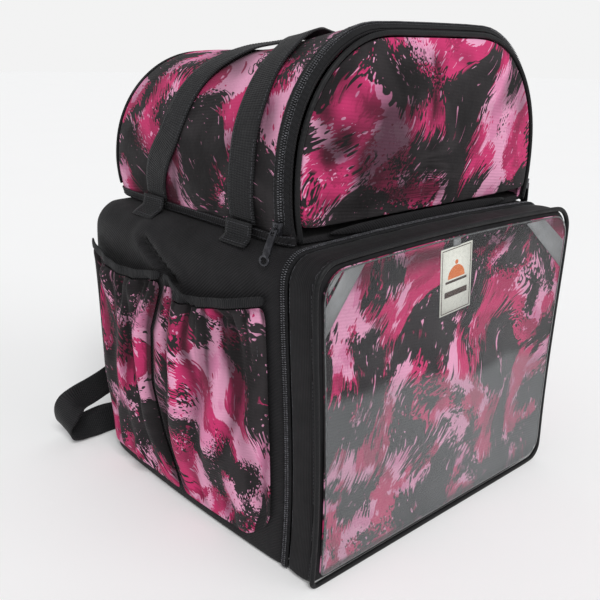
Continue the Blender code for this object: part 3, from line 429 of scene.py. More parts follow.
@dataclass(frozen=True)
class Webbing:
    """Ribbed strap cloth, patterned on the strap's own map."""

    name: str
    shade: Point = (15, 15, 17)
    pitch: float = 0.0024
    width: float = 0.039

    def material(self) -> bpy.types.Material:
        """The webbing as a material.

        Returns:
            The material.
        """
        recipe = Recipe(self.name)
        strap, at = recipe.strap_place(), recipe.place()
        base = linear(*self.shade)
        wear_and_rib_highlight = tuple(min(part * 3.0 + 0.010, 1.0) for part in base[:3]) + (1.0,)
        ribs = recipe.rows(strap, (1, 0, 0), self.pitch)
        lines = recipe.rows(strap, (0, 1, 0), self.width / 9)
        weave = recipe.sums("ADD", recipe.sums("MULTIPLY", ribs, 0.8), recipe.sums("MULTIPLY", lines, 0.2))
        wear = recipe.between(recipe.clouds(at, 55.0, 4.0, 0.6), 0.45, 0.75)
        # Painted highlight: rib crests of the weave are lightened; the random wear below uses the same lighter
        # tone.
        colour = recipe.mixed(recipe.sums("MULTIPLY", weave, 0.65), base, wear_and_rib_highlight)
        colour = recipe.mixed(recipe.sums("MULTIPLY", wear, 0.2), colour, wear_and_rib_highlight)
        bump = recipe.raised(weave, 0.0008, 1.0)
        bump = recipe.raised(recipe.clouds(at, 70.0, 2.0), 0.0010, 0.4, bump)
        rough = recipe.sums("ADD", recipe.sums("MULTIPLY", recipe.clouds(at, 120.0, 2.0), 0.25), 0.42)
        return recipe.finish(colour, rough, bump, Sheen_Weight=0.05, Sheen_Roughness=0.4, Specular_IOR_Level=0.22)


@dataclass(frozen=True)
class Smooth:
    """Moulded, printed or metal finish with fine grain and rubbed spots."""

    name: str
    shade: Point
    rubbed: Point
    rough: float = 0.4
    metal: float = 0.0
    grain: float = 900.0
    relief: float = 0.00006
    weave: float = 0.0
    coat: float = 0.0

    def material(self) -> bpy.types.Material:
        """The finish as a material.

        Returns:
            The material.
        """
        recipe = Recipe(self.name)
        at = recipe.place()
        wear = recipe.between(recipe.clouds(at, self.grain / 4, 4.0, 0.6), 0.45, 0.75)
        colour = recipe.mixed(recipe.sums("MULTIPLY", wear, 0.8), linear(*self.shade), linear(*self.rubbed))
        fine = recipe.clouds(at, self.grain, 2.0)
        bump = recipe.raised(fine, self.relief, 0.6)
        if self.weave:
            rising, falling = (recipe.rows(at, (1, 0, slope), self.weave) for slope in (1, -1))
            net = recipe.sums("MULTIPLY", rising, falling)
            colour = recipe.mixed(recipe.sums("MULTIPLY", net, 0.30), colour, linear(*self.rubbed))
            bump = recipe.raised(net, 0.00012, 0.6, bump)
        rough = recipe.sums("ADD", recipe.sums("MULTIPLY", fine, 0.2), self.rough - 0.1)
        return recipe.finish(colour, rough, bump, Metallic=self.metal, Coat_Weight=self.coat)


@dataclass(frozen=True)
class ClearFilm:
    """Clear soft sheet with a painted reflection whitening its lower part, and faint upright ripples."""

    name: str
    # Upper edge of the painted reflection, and how white the sheet is outside and inside it.
    reflection_line: float = 0.180
    clear: float = 0.015
    reflection_alpha: float = 0.13

    def material(self) -> bpy.types.Material:
        """The film as a material.

        Returns:
            The material.
        """
        recipe = Recipe(self.name)
        at = recipe.place()
        sideways, upright = (recipe.vectors("DOT_PRODUCT", at, way, out="Value") for way in ((1, 0, 0), (0, 0, 1)))
        height = recipe.sums("ADD", upright, recipe.sums("MULTIPLY", sideways, 0.15))
        sway = recipe.sums("MULTIPLY", recipe.sums("SUBTRACT", recipe.clouds(at, 9.0, 2.0), 0.5), 0.05)
        line = recipe.sums("ADD", height, sway)
        # Painted reflection of a broad light: below a slanted, wavy line the sheet is whitened more.
        low = recipe.between(line, self.reflection_line + 0.006, self.reflection_line - 0.006)
        cloudy = recipe.between(recipe.clouds(at, 6.0, 3.0), 0.35, 0.75)
        alpha = recipe.sums("ADD", recipe.sums("MULTIPLY", low, self.reflection_alpha - self.clear), self.clear)
        alpha = recipe.sums("ADD", alpha, recipe.sums("MULTIPLY", cloudy, 0.05))
        recipe.tree.links.new(alpha, recipe.shader.inputs["Alpha"])
        stretched = recipe.vectors("MULTIPLY", at, (1.0, 1.0, 0.12))
        bump = recipe.raised(recipe.clouds(stretched, 24.0, 3.0, 0.5), 0.0040, 0.7)
        rough = recipe.sums("ADD", recipe.sums("MULTIPLY", recipe.clouds(at, 14.0, 4.0), 0.16), 0.10)
        return recipe.finish(linear(176, 180, 182), rough, bump, Specular_IOR_Level=0.3, IOR=1.45)


class Finishes:
    """All finishes of the bag, made once."""

    def __init__(self) -> None:
        """Makes every material."""
        # The side and pocket copies are made 8% brighter than the front ones: painted light.
        self.side_print = Camouflage(
            "camouflage_sides", (0.15, 0.80, 0.58), blot=0.078, cover=0.482, light=1.08
        ).material()
        self.front_print = Camouflage(
            "camouflage_dome_front", (0.62, 0.10, 0.78), blot=0.078, cover=0.492, shift=(0.31, 0.0, 0.12)
        ).material()
        self.window_print = Camouflage(
            "camouflage_window", (0.46, 0.0, 0.89), blot=0.054, comb=0.020, shift=(0.77, 0.2, 0.05)
        ).material()
        self.pocket_print = Camouflage(
            "camouflage_pockets", (0.10, 0.50, 0.86), blot=0.068, cover=0.484, light=1.08, shift=(0.1, 0.55, 0.33)
        ).material()
        self.body = Twill("black_twill").material()
        self.gusset = Twill(
            "black_ridged_twill", shade=(20, 19, 21), slant=(0, 1, 0), pitch=0.0021, relief=0.0003
        ).material()
        self.padding = Twill("black_padding", shade=(24, 24, 26), pitch=0.0028, relief=0.0005).material()
        self.tape = Twill("zip_tape_twill", shade=(18, 18, 20), slant=(1, 0, 1), pitch=0.0012).material()
        self.piping = Twill(
            "piping_cloth", shade=(13, 13, 15), slant=(1, 1, -1), pitch=0.0019, relief=0.0002, soft=0.0008,
            gloss=0.22, rough=0.40
        ).material()
        self.elastic = Twill(
            "elastic_binding", shade=(21, 21, 23), slant=(0, 1, 0.05), pitch=0.0025, relief=0.0006
        ).material()
        self.webbing = Webbing("handle_webbing").material()
        self.thread = Smooth("black_thread", (50, 50, 54), (84, 84, 90), rough=0.55).material()
        # The coil is grey, not black: partly a painted glint for the light dots that its teeth catch.
        self.coil = Smooth("zip_coil", (66, 66, 70), (128, 128, 134), rough=0.25, coat=0.1).material()
        self.metal = Smooth("dark_zip_metal", (58, 58, 62), (92, 92, 97), rough=0.30, metal=0.85).material()
        self.plastic = Smooth("black_buckle_plastic", (24, 24, 26), (52, 52, 56), rough=0.38).material()
        self.reflector = Smooth(
            "grey_reflective_tape", (122, 123, 124), (136, 138, 140), rough=0.42, grain=500.0, weave=0.0016
        ).material()
        self.label = Smooth(
            "pale_woven_label", (226, 226, 216), (206, 206, 196), rough=0.7, grain=1200.0, relief=0.0001
        ).material()
        self.label_dark = Smooth("dark_label_thread", (58, 42, 36), (86, 66, 58), rough=0.7).material()
        self.label_warm = Smooth("orange_label_thread", (205, 108, 52), (226, 140, 84), rough=0.7).material()
        self.film = ClearFilm("clear_window_film").material()
        self.film_edge = Smooth("welded_film_edge", (70, 72, 73), (110, 112, 114), rough=0.3, coat=0.4).material()


# Making pieces


def merged(node: str) -> Shell:
    """A solid's faces as one joined mesh.

    Args:
        node: The CAD node.

    Returns:
        The joined mesh, with four-sided faces where two triangles make one.
    """
    shell = bmesh.new()
    shell.from_mesh(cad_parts[node].data)
    bmesh.ops.remove_doubles(shell, verts=shell.verts, dist=2e-5)
    bmesh.ops.join_triangles(
        shell, faces=shell.faces, angle_face_threshold=math.radians(30), angle_shape_threshold=math.radians(60)
    )
    return shell


def new_piece(
    name: str, shell: Shell, material: bpy.types.Material, slot: Slot, body: str = "root", angle: float = 40.0
) -> Piece:
    """Turns a mesh into a finished piece that rides on a body.

    Args:
        name: Name of the piece.
        shell: Its mesh, which is freed.
        material: Its finish.
        slot: The record's slot, which isn't used.
        body: The body that it moves with.
        angle: Edges sharper than this many degrees stay sharp.

    Returns:
        The piece.
    """
    mesh = bpy.data.meshes.new(name)
    for face in shell.faces:
        face.smooth = True
    shell.to_mesh(mesh)
    shell.free()
    for spare in ("custom_normal", "sharp_edge", "sharp_face"):
        if spare in mesh.attributes:
            mesh.attributes.remove(mesh.attributes[spare])
    mesh.materials.clear()
    mesh.materials.append(material)
    mesh.set_sharp_from_angle(angle=math.radians(angle))
    piece = bpy.data.objects.new(name, mesh)
    bpy.context.scene.collection.objects.link(piece)
    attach(piece, body)
    return piece


def baked(piece: Piece) -> Piece:
    """Applies a piece's modifiers to its mesh.

    Args:
        piece: The piece.

    Returns:
        The same piece.
    """
    graph = bpy.context.evaluated_depsgraph_get()
    mesh = bpy.data.meshes.new_from_object(piece.evaluated_get(graph))
    piece.modifiers.clear()
    spare, piece.data = piece.data, mesh
    bpy.data.meshes.remove(spare)
    return piece


def rounded(piece: Piece, levels: int) -> Piece:
    """Smooths a piece by subdivision and applies it.

    Args:
        piece: The piece.
        levels: How often it is subdivided.

    Returns:
        The same piece.
    """
    smoother = piece.modifiers.new("rounding", "SUBSURF")
    smoother.levels = smoother.render_levels = levels
    return baked(piece)


def pushed(piece: Piece, push: Push) -> Piece:
    """Moves each point of a piece and keeps the painted shade: how deep in a fold it lies.

    Args:
        piece: The piece.
        push: The move by place and normal, with the painted shade from 0 to 1 as a fourth part where it is known.

    Returns:
        The piece.
    """
    mesh = piece.data
    moves = [(push(vertex.co, vertex.normal), vertex.normal.copy()) for vertex in mesh.vertices]
    depths = [-move.to_3d().dot(normal) for move, normal in moves]
    spread = sorted(depths)
    low, high = spread[len(spread) // 2], spread[len(spread) * 96 // 100]
    # Painted shade per point, which the cloth materials read to darken their colour.
    painted_shade = mesh.attributes.new("painted_shade", "FLOAT", "POINT")
    for k, (move, _) in enumerate(moves):
        mesh.vertices[k].co += move.to_3d()
        depth = move[3] if len(move) == 4 else (depths[k] - low) / max(high - low, 0.0008)
        painted_shade.data[k].value = min(max(depth, 0.0), 1.0)
    mesh.update()
    return piece


def ripple(at: Vector, size: float, seed: float = 0.0) -> float:
    """Smooth noise from -1 to 1 with waves of a size in metres."""
    return noise.noise(at / size + Vector((seed, seed * 1.3, seed * 0.7)))


def bump_at(distance: float, width: float) -> float:
    """A round ridge of height 1 at no distance."""
    return math.exp(-((distance / width) ** 2))


def fade(value: float, start: float, end: float) -> float:
    """Eases from 0 at start to 1 at end."""
    share = min(max((value - start) / (end - start), 0.0), 1.0)
    return share * share * (3 - 2 * share)


def edge_points(
    node: str, keep: Callable[[Vector], bool], axes: tuple[int, int], centre: tuple[float, float],
    outer: bool = True, bins: int = 720
) -> list[Vector]:
    """Points along an edge of a solid, in order round a centre.

    Args:
        node: The CAD node.
        keep: Says which of its points belong to the edge.
        axes: The two axes of the plane that the edge goes round in.
        centre: The centre in that plane.
        outer: Keeps the farthest point in a direction, and otherwise the nearest.
        bins: How many directions are told apart.

    Returns:
        The points, turning from straight down the second axis.
    """
    found: dict[int, tuple[float, Vector]] = {}
    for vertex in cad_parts[node].data.vertices:
        if not keep(vertex.co):
            continue
        a, b = vertex.co[axes[0]] - centre[0], vertex.co[axes[1]] - centre[1]
        turn = math.atan2(-a, -b) % (2 * math.pi)
        key, reach = round(turn / (2 * math.pi) * bins), math.hypot(a, b)
        if key not in found or (reach > found[key][0]) == outer:
            found[key] = (reach, vertex.co.copy())
    return [found[key][1] for key in sorted(found)]


def spaced(points: Sequence[Vector], pitch: float, closed: bool = False) -> list[tuple[Vector, Vector]]:
    """Even places along a row of points.

    Args:
        points: The row.
        pitch: Distance from place to place.
        closed: Joins the last point to the first.

    Returns:
        Each place with its direction.
    """
    row = list(points) + ([points[0]] if closed else [])
    places, left = [], pitch / 2
    for start, end in zip(row, row[1:]):
        run = end - start
        length = run.length
        if length < 1e-7:
            continue
        while left <= length:
            places.append((start + run * (left / length), run / length))
            left += pitch
        left -= length
    return places


def route_points(points: Sequence[Sequence[float]], count: int) -> list[Vector]:
    """Points on a smooth curve through a route.

    Args:
        points: The route.
        count: How many spans the curve gets.

    Returns:
        The points.
    """
    knots = [Vector(point) for point in points]
    last, curve = len(knots) - 1, []
    for k in range(count + 1):
        i = min(int(k / count * last), last - 1)
        f = k / count * last - i
        a, b, c, d = knots[max(i - 1, 0)], knots[i], knots[i + 1], knots[min(i + 2, last)]
        curve.append(
            0.5 * (2 * b + (c - a) * f + (2 * a - 5 * b + 4 * c - d) * f * f + (3 * b - a - 3 * c + d) * f ** 3)
        )
    return curve


def seat(along: Vector, out: Vector, at: Vector) -> Matrix:
    """A place whose X runs along and whose Z points out.

    Args:
        along: Direction of its X.
        out: Rough direction of its Z.
        at: Where it is.

    Returns:
        The place as a matrix.
    """
    side = out.cross(along).normalized()
    out = along.cross(side).normalized()
    return Matrix.Translation(at) @ Matrix((along, side, out)).transposed().to_4x4()


def small_bar(length: float, width: float, height: float, bevel: float) -> Shell:
    """A small rounded bar at the origin.

    Args:
        length: Size along X.
        width: Size along Y.
        height: Size along Z.
        bevel: Width of its rounded edges.

    Returns:
        The bar's mesh.
    """
    bar = bmesh.new()
    bmesh.ops.create_cube(bar, size=1.0)
    bmesh.ops.scale(bar, vec=(length, width, height), verts=bar.verts)
    bmesh.ops.bevel(bar, geom=bar.edges[:], offset=bevel, affect="EDGES", segments=1, profile=0.5, material=-1)
    return bar


def repeated(shape: Shell, places: Iterable[Matrix]) -> Shell:
    """The same small shape at many places, as one mesh.

    Args:
        shape: The small shape, which is freed.
        places: Where it goes.

    Returns:
        The whole mesh.
    """
    pattern = bpy.data.meshes.new("pattern")
    shape.to_mesh(pattern)
    shape.free()
    whole = bmesh.new()
    for place in places:
        copy = pattern.copy()
        copy.transform(place)
        whole.from_mesh(copy)
        bpy.data.meshes.remove(copy)
    bpy.data.meshes.remove(pattern)
    return whole


def skin_of(piece: Piece) -> BVHTree:
    """A piece's surface, to find places on it."""
    mesh = piece.data
    return BVHTree.FromPolygons([v.co for v in mesh.vertices], [tuple(p.vertices) for p in mesh.polygons])


@dataclass
class SubAssembly:
    """A part of the bag with its own pieces."""

    finishes: Finishes
    pieces: dict[str, Piece] = field(default_factory=dict)

    def cloth(
        self, node: str, name: str, material: bpy.types.Material, slot: Slot, levels: int = 2,
        push: Optional[Push] = None, body: str = "root"
    ) -> Piece:
        """Makes a soft piece in the place of a solid.

        Args:
            node: The CAD node that it stands for.
            name: Name of the piece.
            material: Its finish.
            slot: The record's slot.
            levels: How often it is subdivided.
            push: How its points move, for folds and sag.
            body: The body that it moves with.

        Returns:
            The piece.
        """
        piece = new_piece(name, merged(node), material, slot, body, 180.0)
        if levels:
            rounded(piece, levels)
        if push:
            pushed(piece, push)
        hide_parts(node)
        self.pieces[name] = piece
        return piece

    def stitches(
        self, name: str, points: Sequence[Vector], on: Piece, pitch: float = 0.0042, length: float = 0.0030,
        closed: bool = False, material: Optional[bpy.types.Material] = None, slot: Slot = Slot.CLOTH,
        body: str = "root"
    ) -> Optional[Piece]:
        """Sews a row of thread on a piece.

        Args:
            name: Name of the row.
            points: The way that it goes.
            on: The piece that it is sewn on.
            pitch: Distance from stitch to stitch.
            length: Length of one stitch.
            closed: Joins the end to the start.
            material: The thread, black where it is left out.
            slot: The record's slot.
            body: The body that it moves with.

        Returns:
            The row, or nothing where it would be empty.
        """
        tree = skin_of(on)
        places = []
        for at, along in spaced(points, pitch, closed):
            hit, normal, _, distance = tree.find_nearest(at)
            if hit is None or distance > 0.006:
                continue
            flat = along - normal * along.dot(normal)
            if flat.length > 0.3:
                places.append(seat(flat.normalized(), normal, hit + normal * 0.00012))
        if not places:
            return None
        row = new_piece(
            name, repeated(small_bar(length, 0.0007, 0.0005, 0.00018), places), material or self.finishes.thread,
            slot, body
        )
        self.pieces[name] = row
        return row

    def chain(
        self, name: str, points: Sequence[Vector], outs: Callable[[Vector], Vector], on: Piece,
        pitch: float = 0.0023, closed: bool = False
    ) -> Piece:
        """Lays the two rows of a zip's coil.

        Args:
            name: Name of the chain.
            points: Its middle line.
            outs: The way out of the bag at a point.
            on: The tape that it lies on.
            pitch: Distance from tooth to tooth.
            closed: Joins the end to the start.

        Returns:
            The chain.
        """
        tree = skin_of(on)
        places = []
        for k, (at, along) in enumerate(spaced(points, pitch / 2, closed)):
            out = outs(at)
            side = out.cross(along).normalized()
            hit, _, _, distance = tree.ray_cast(at + out * 0.006, -out, 0.012)
            if hit is not None:
                places.append(seat(along, out, hit + side * (0.0017 if k % 2 else -0.0017) + out * 0.0002))
        coil = new_piece(
            name, repeated(small_bar(0.0010, 0.0021, 0.0012, 0.0003), places), self.finishes.coil, Slot.TAPE
        )
        self.pieces[name] = coil
        return coil

    def strap(
        self, node: str, name: str, centres: Sequence[Vector], acrosses: Sequence[Vector], width: float,
        thickness: float, material: bpy.types.Material, slot: Slot = Slot.WEBBING, curl: float = 0.0007,
        spans: int = 120
    ) -> Piece:
        """Lays a flat strap along a route.

        Args:
            node: The CAD node that it stands for.
            name: Name of the strap.
            centres: Its middle line.
            acrosses: Its width direction at each point.
            width: Its width.
            thickness: Its thickness.
            material: Its finish.
            slot: The record's slot.
            curl: How far its edges bend back.
            spans: How many faces it has along.

        Returns:
            The strap.
        """
        middles, widths = route_points(centres, spans), route_points(acrosses, spans)
        lengths = [0.0]
        for start, end in zip(middles, middles[1:]):
            lengths.append(lengths[-1] + (end - start).length)
        band = bmesh.new()
        plan = band.loops.layers.uv.new("strap")
        bmesh.ops.create_grid(band, x_segments=spans, y_segments=8, size=0.5)
        for face in band.faces:
            for loop in face.loops:
                k = min(max(round((loop.vert.co.x + 0.5) * spans), 0), spans)
                loop[plan].uv = (lengths[k], loop.vert.co.y * width)
        for vertex in band.verts:
            k, v = min(max(round((vertex.co.x + 0.5) * spans), 0), spans), vertex.co.y
            along = (middles[min(k + 1, spans)] - middles[max(k - 1, 0)]).normalized()
            across = (widths[k] - along * widths[k].dot(along)).normalized()
            face_way = along.cross(across)
            wave = 0.0004 * ripple(middles[k] + across * v * width, 0.03)
            vertex.co = middles[k] + across * (v * width) + face_way * (curl * (0.33 - 4 * v * v) * 0.5 + wave)
        piece = new_piece(name, band, material, slot, "root", 50.0)
        skin = piece.modifiers.new("thickness", "SOLIDIFY")
        skin.thickness, skin.offset, skin.use_even_offset = thickness, 0.0, False
        baked(piece)
        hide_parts(node)
        self.pieces[name] = piece
        return piece


# The bag's parts


@dataclass
class LowerBox(SubAssembly):
    """Black padded lower box."""

    crease_from: tuple[float, float] = (0.066, 0.308)
    crease_to: tuple[float, float] = (0.004, 0.272)
    crease_depth: float = 0.0052
    sag: float = 0.0012
    panel_half_width: float = 0.165
    panel_foot: float = 0.03
    panel_top: float = 0.30
    back_face: float = 0.200

    def folds(self, at: Vector, normal: Vector) -> Vector:
        """Soft waves over the box and the slanting crease on its shoulder.

        Args:
            at: The point.
            normal: Its way out.

        Returns:
            How far it moves.
        """
        start, end = Vector(self.crease_from), Vector(self.crease_to)
        here, run = Vector((at.y, at.z)), end - start
        share = min(max((here - start).dot(run) / run.length_squared, 0.0), 1.0)
        off = (here - start - run * share).length
        profile = 0.5 * bump_at(off - 0.011, 0.008) - bump_at(off, 0.0045)
        crease = self.crease_depth * profile * fade(abs(at.x), 0.17, 0.20)
        still = fade(at.z, 0.004, 0.03) * fade(at.y, -0.135, -0.10)
        wave = self.sag * (0.6 * ripple(at, 0.085, 3.0) + 0.4 * ripple(at, 0.03, 5.0) - 0.3)
        return normal * (crease + wave) * still

    def build(self) -> None:
        """Makes the box."""
        piece = self.cloth("lower_shell", "box_cloth", self.finishes.body, Slot.CLOTH, 3, self.folds)
        wide, foot, top = self.panel_half_width, self.panel_foot, self.panel_top
        corners = ((-wide, foot), (-wide, top), (wide, top), (wide, foot))
        back = [Vector((x, self.back_face, z)) for x, z in corners]
        self.stitches("back_panel_stitches", back, piece, closed=True)


@dataclass
class Door(SubAssembly):
    """Front door: gusset, zip, piping and their stitches."""

    zip_depth: float = -0.149
    zip_half_band: float = 0.0022
    middle_height: float = 0.165
    rear_seam: float = -0.1565
    front_seam: float = -0.1855
    piping_swell: float = 0.0005

    def waves(self, at: Vector, normal: Vector) -> Vector:
        """Slight unevenness of the gusset."""
        return normal * 0.0005 * (ripple(at, 0.045, 7.0) - 0.4) * fade(at.y, -0.188, -0.180)

    def build(self) -> None:
        """Makes the door."""
        tray = self.cloth("door_tray", "door_gusset", self.finishes.gusset, Slot.CLOTH, 2, self.waves)
        tape = self.cloth("door_zipper", "door_zip_tape", self.finishes.tape, Slot.TAPE, 1)
        swell = self.piping_swell
        self.cloth(
            "door_piping", "door_edge_piping", self.finishes.piping, Slot.PIPING, 2, lambda at,
            normal: normal * swell
        )
        centre = (0.0, self.middle_height)
        band = (self.zip_depth - self.zip_half_band, self.zip_depth + self.zip_half_band)
        crest = edge_points("door_zipper", lambda p: band[0] < p.y < band[1], (0, 2), centre)
        line = [Vector((p.x, self.zip_depth, p.z)) for p in crest]
        middle = Vector((0.0, self.zip_depth, self.middle_height))

        def outward(at: Vector) -> Vector:
            """Way out of the door's rim.

            Args:
                at: The point.

            Returns:
                The direction.
            """
            near = min(range(len(line)), key=lambda k: (line[k] - at).length_squared)
            run = line[(near + 1) % len(line)] - line[near - 1]
            out = Vector((run.z, 0.0, -run.x)).normalized()
            return out if out.dot(at - middle) > 0 else -out

        self.chain("door_zip_chain", line, outward, tape, closed=True)
        rim = edge_points("door_tray", lambda p: p.y > -0.156, (0, 2), centre)
        for name, depth in (("rear", self.rear_seam), ("front", self.front_seam)):
            self.stitches("gusset_stitches_" + name, [Vector((p.x, depth, p.z)) for p in rim], tray, closed=True)
        LOG.info("door zip of %d points", len(line))


@dataclass
class Window(SubAssembly):
    """Printed cloth, strips and label behind the clear film."""

    middle_height: float = 0.171
    narrowing: float = 0.019
    lowering: float = 0.022
    weld: float = 0.0016
    taut: float = 0.985
    label_width: float = 0.050
    label_height: float = 0.071
    label_tilt: float = math.radians(4.0)
    dish_radius: float = 0.0135
    knob_radius: float = 0.0024
    thread_height: float = 0.00014

    def build(self) -> None:
        """Makes the layers of the window."""
        finishes = self.finishes
        middle = Vector((0.0, 0.0, self.middle_height))

        def drawn_in(at: Vector, normal: Vector) -> Vector:
            """Draws the sheets back from the piping.

            Args:
                at: The point.
                normal: Its way out, which isn't used.

            Returns:
                How far it moves.
            """
            off = at - middle
            return Vector((-self.narrowing * off.x, 0.0, -self.lowering * off.z))

        cloth = self.cloth("window_print", "window_cloth", finishes.window_print, Slot.CAMOUFLAGE, 0, drawn_in)
        film = self.cloth("window_film", "window_clear_sheet", finishes.film, Slot.FILM, 0, drawn_in)
        self.film_border(film)
        for node in ("reflector_left", "reflector_left_short", "reflector_right", "reflector_stub"):
            self.cloth(node, node + "_tape", finishes.reflector, Slot.REFLECTOR, 0, drawn_in)
        self.label(drawn_in)

    def film_border(self, film: Piece) -> None:
        """Gives the film its narrow welded edge.

        Args:
            film: The clear sheet.
        """
        shell = bmesh.new()
        shell.from_mesh(film.data)
        bmesh.ops.dissolve_limit(shell, angle_limit=math.radians(3), verts=shell.verts, edges=shell.edges)
        front = [face for face in shell.faces if face.normal.y < -0.9]
        border = bmesh.ops.inset_region(shell, faces=front, thickness=self.weld, use_even_offset=True)
        film.data.materials.append(self.finishes.film_edge)
        for face in border["faces"]:
            face.material_index = 1
        shell.to_mesh(film.data)
        shell.free()

    def label(self, drawn_in: Push) -> None:
        """Makes the sewn label with a plain sign of a covered dish.

        Args:
            drawn_in: How the sheets round it are drawn in.
        """
        finishes = self.finishes
        box_low, box_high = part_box("label_patch")
        centre = (box_low + box_high) / 2
        shift = drawn_in(centre, centre)
        centre += shift
        self.cloth("label_patch", "label_cloth", finishes.label, Slot.LABEL, 0, lambda at, normal: shift)
        wide, tall = self.label_width, self.label_height
        place = Matrix.Translation((centre.x, box_low.y, centre.z)) @ Matrix.Rotation(-self.label_tilt, 4, "Y")
        dish = bmesh.new()
        bmesh.ops.create_circle(dish, cap_ends=True, segments=48, radius=self.dish_radius)
        whole = dish.verts[:] + dish.edges[:] + dish.faces[:]
        bmesh.ops.bisect_plane(dish, geom=whole, plane_co=(0, 0, 0), plane_no=(0, 1, 0), clear_inner=True)
        bmesh.ops.translate(dish, vec=(0.0, 0.002, 0.0), verts=dish.verts)
        knob = bmesh.ops.create_circle(dish, cap_ends=True, segments=20, radius=self.knob_radius)["verts"]
        bmesh.ops.translate(dish, vec=(0.0, 0.0185, 0.0), verts=knob)
        self.raised_mark("label_dish_cover", dish, place, finishes.label_warm)
        bars = bmesh.new()
        plates = (
            (0.034, 0.0026, 0.0, -0.0010),
            (0.036, 0.0062, 0.0, -0.0140),
            (wide - 0.004, 0.0008, 0.0, tall / 2 - 0.002),
            (wide - 0.004, 0.0008, 0.0, 0.002 - tall / 2),
            (0.0008, tall - 0.0056, wide / 2 - 0.0024, 0.0),
            (0.0008, tall - 0.0056, 0.0024 - wide / 2, 0.0),
        )
        for width, height, x, y in plates:
            square = bmesh.ops.create_grid(bars, x_segments=1, y_segments=1, size=0.5)["verts"]
            bmesh.ops.scale(bars, vec=(width, height, 1.0), verts=square)
            bmesh.ops.translate(bars, vec=(x, y, 0.0), verts=square)
        self.raised_mark("label_bars", bars, place, finishes.label_dark)

    def raised_mark(self, name: str, flat: Shell, place: Matrix, material: bpy.types.Material) -> None:
        """Lifts a flat shape into embroidery on the label.

        Args:
            name: Name of the piece.
            flat: Shape in the XY plane.
            place: Where the label is.
            material: Its thread.
        """
        grown = bmesh.ops.extrude_face_region(flat, geom=flat.faces[:])
        moved = [item for item in grown["geom"] if isinstance(item, bmesh.types.BMVert)]
        bmesh.ops.translate(flat, vec=(0.0, 0.0, self.thread_height), verts=moved)
        bmesh.ops.transform(flat, matrix=place @ Matrix.Rotation(math.radians(90), 4, "X"), verts=flat.verts)
        bmesh.ops.recalc_face_normals(flat, faces=flat.faces)
        self.pieces[name] = new_piece(name, flat, material, Slot.LABEL)


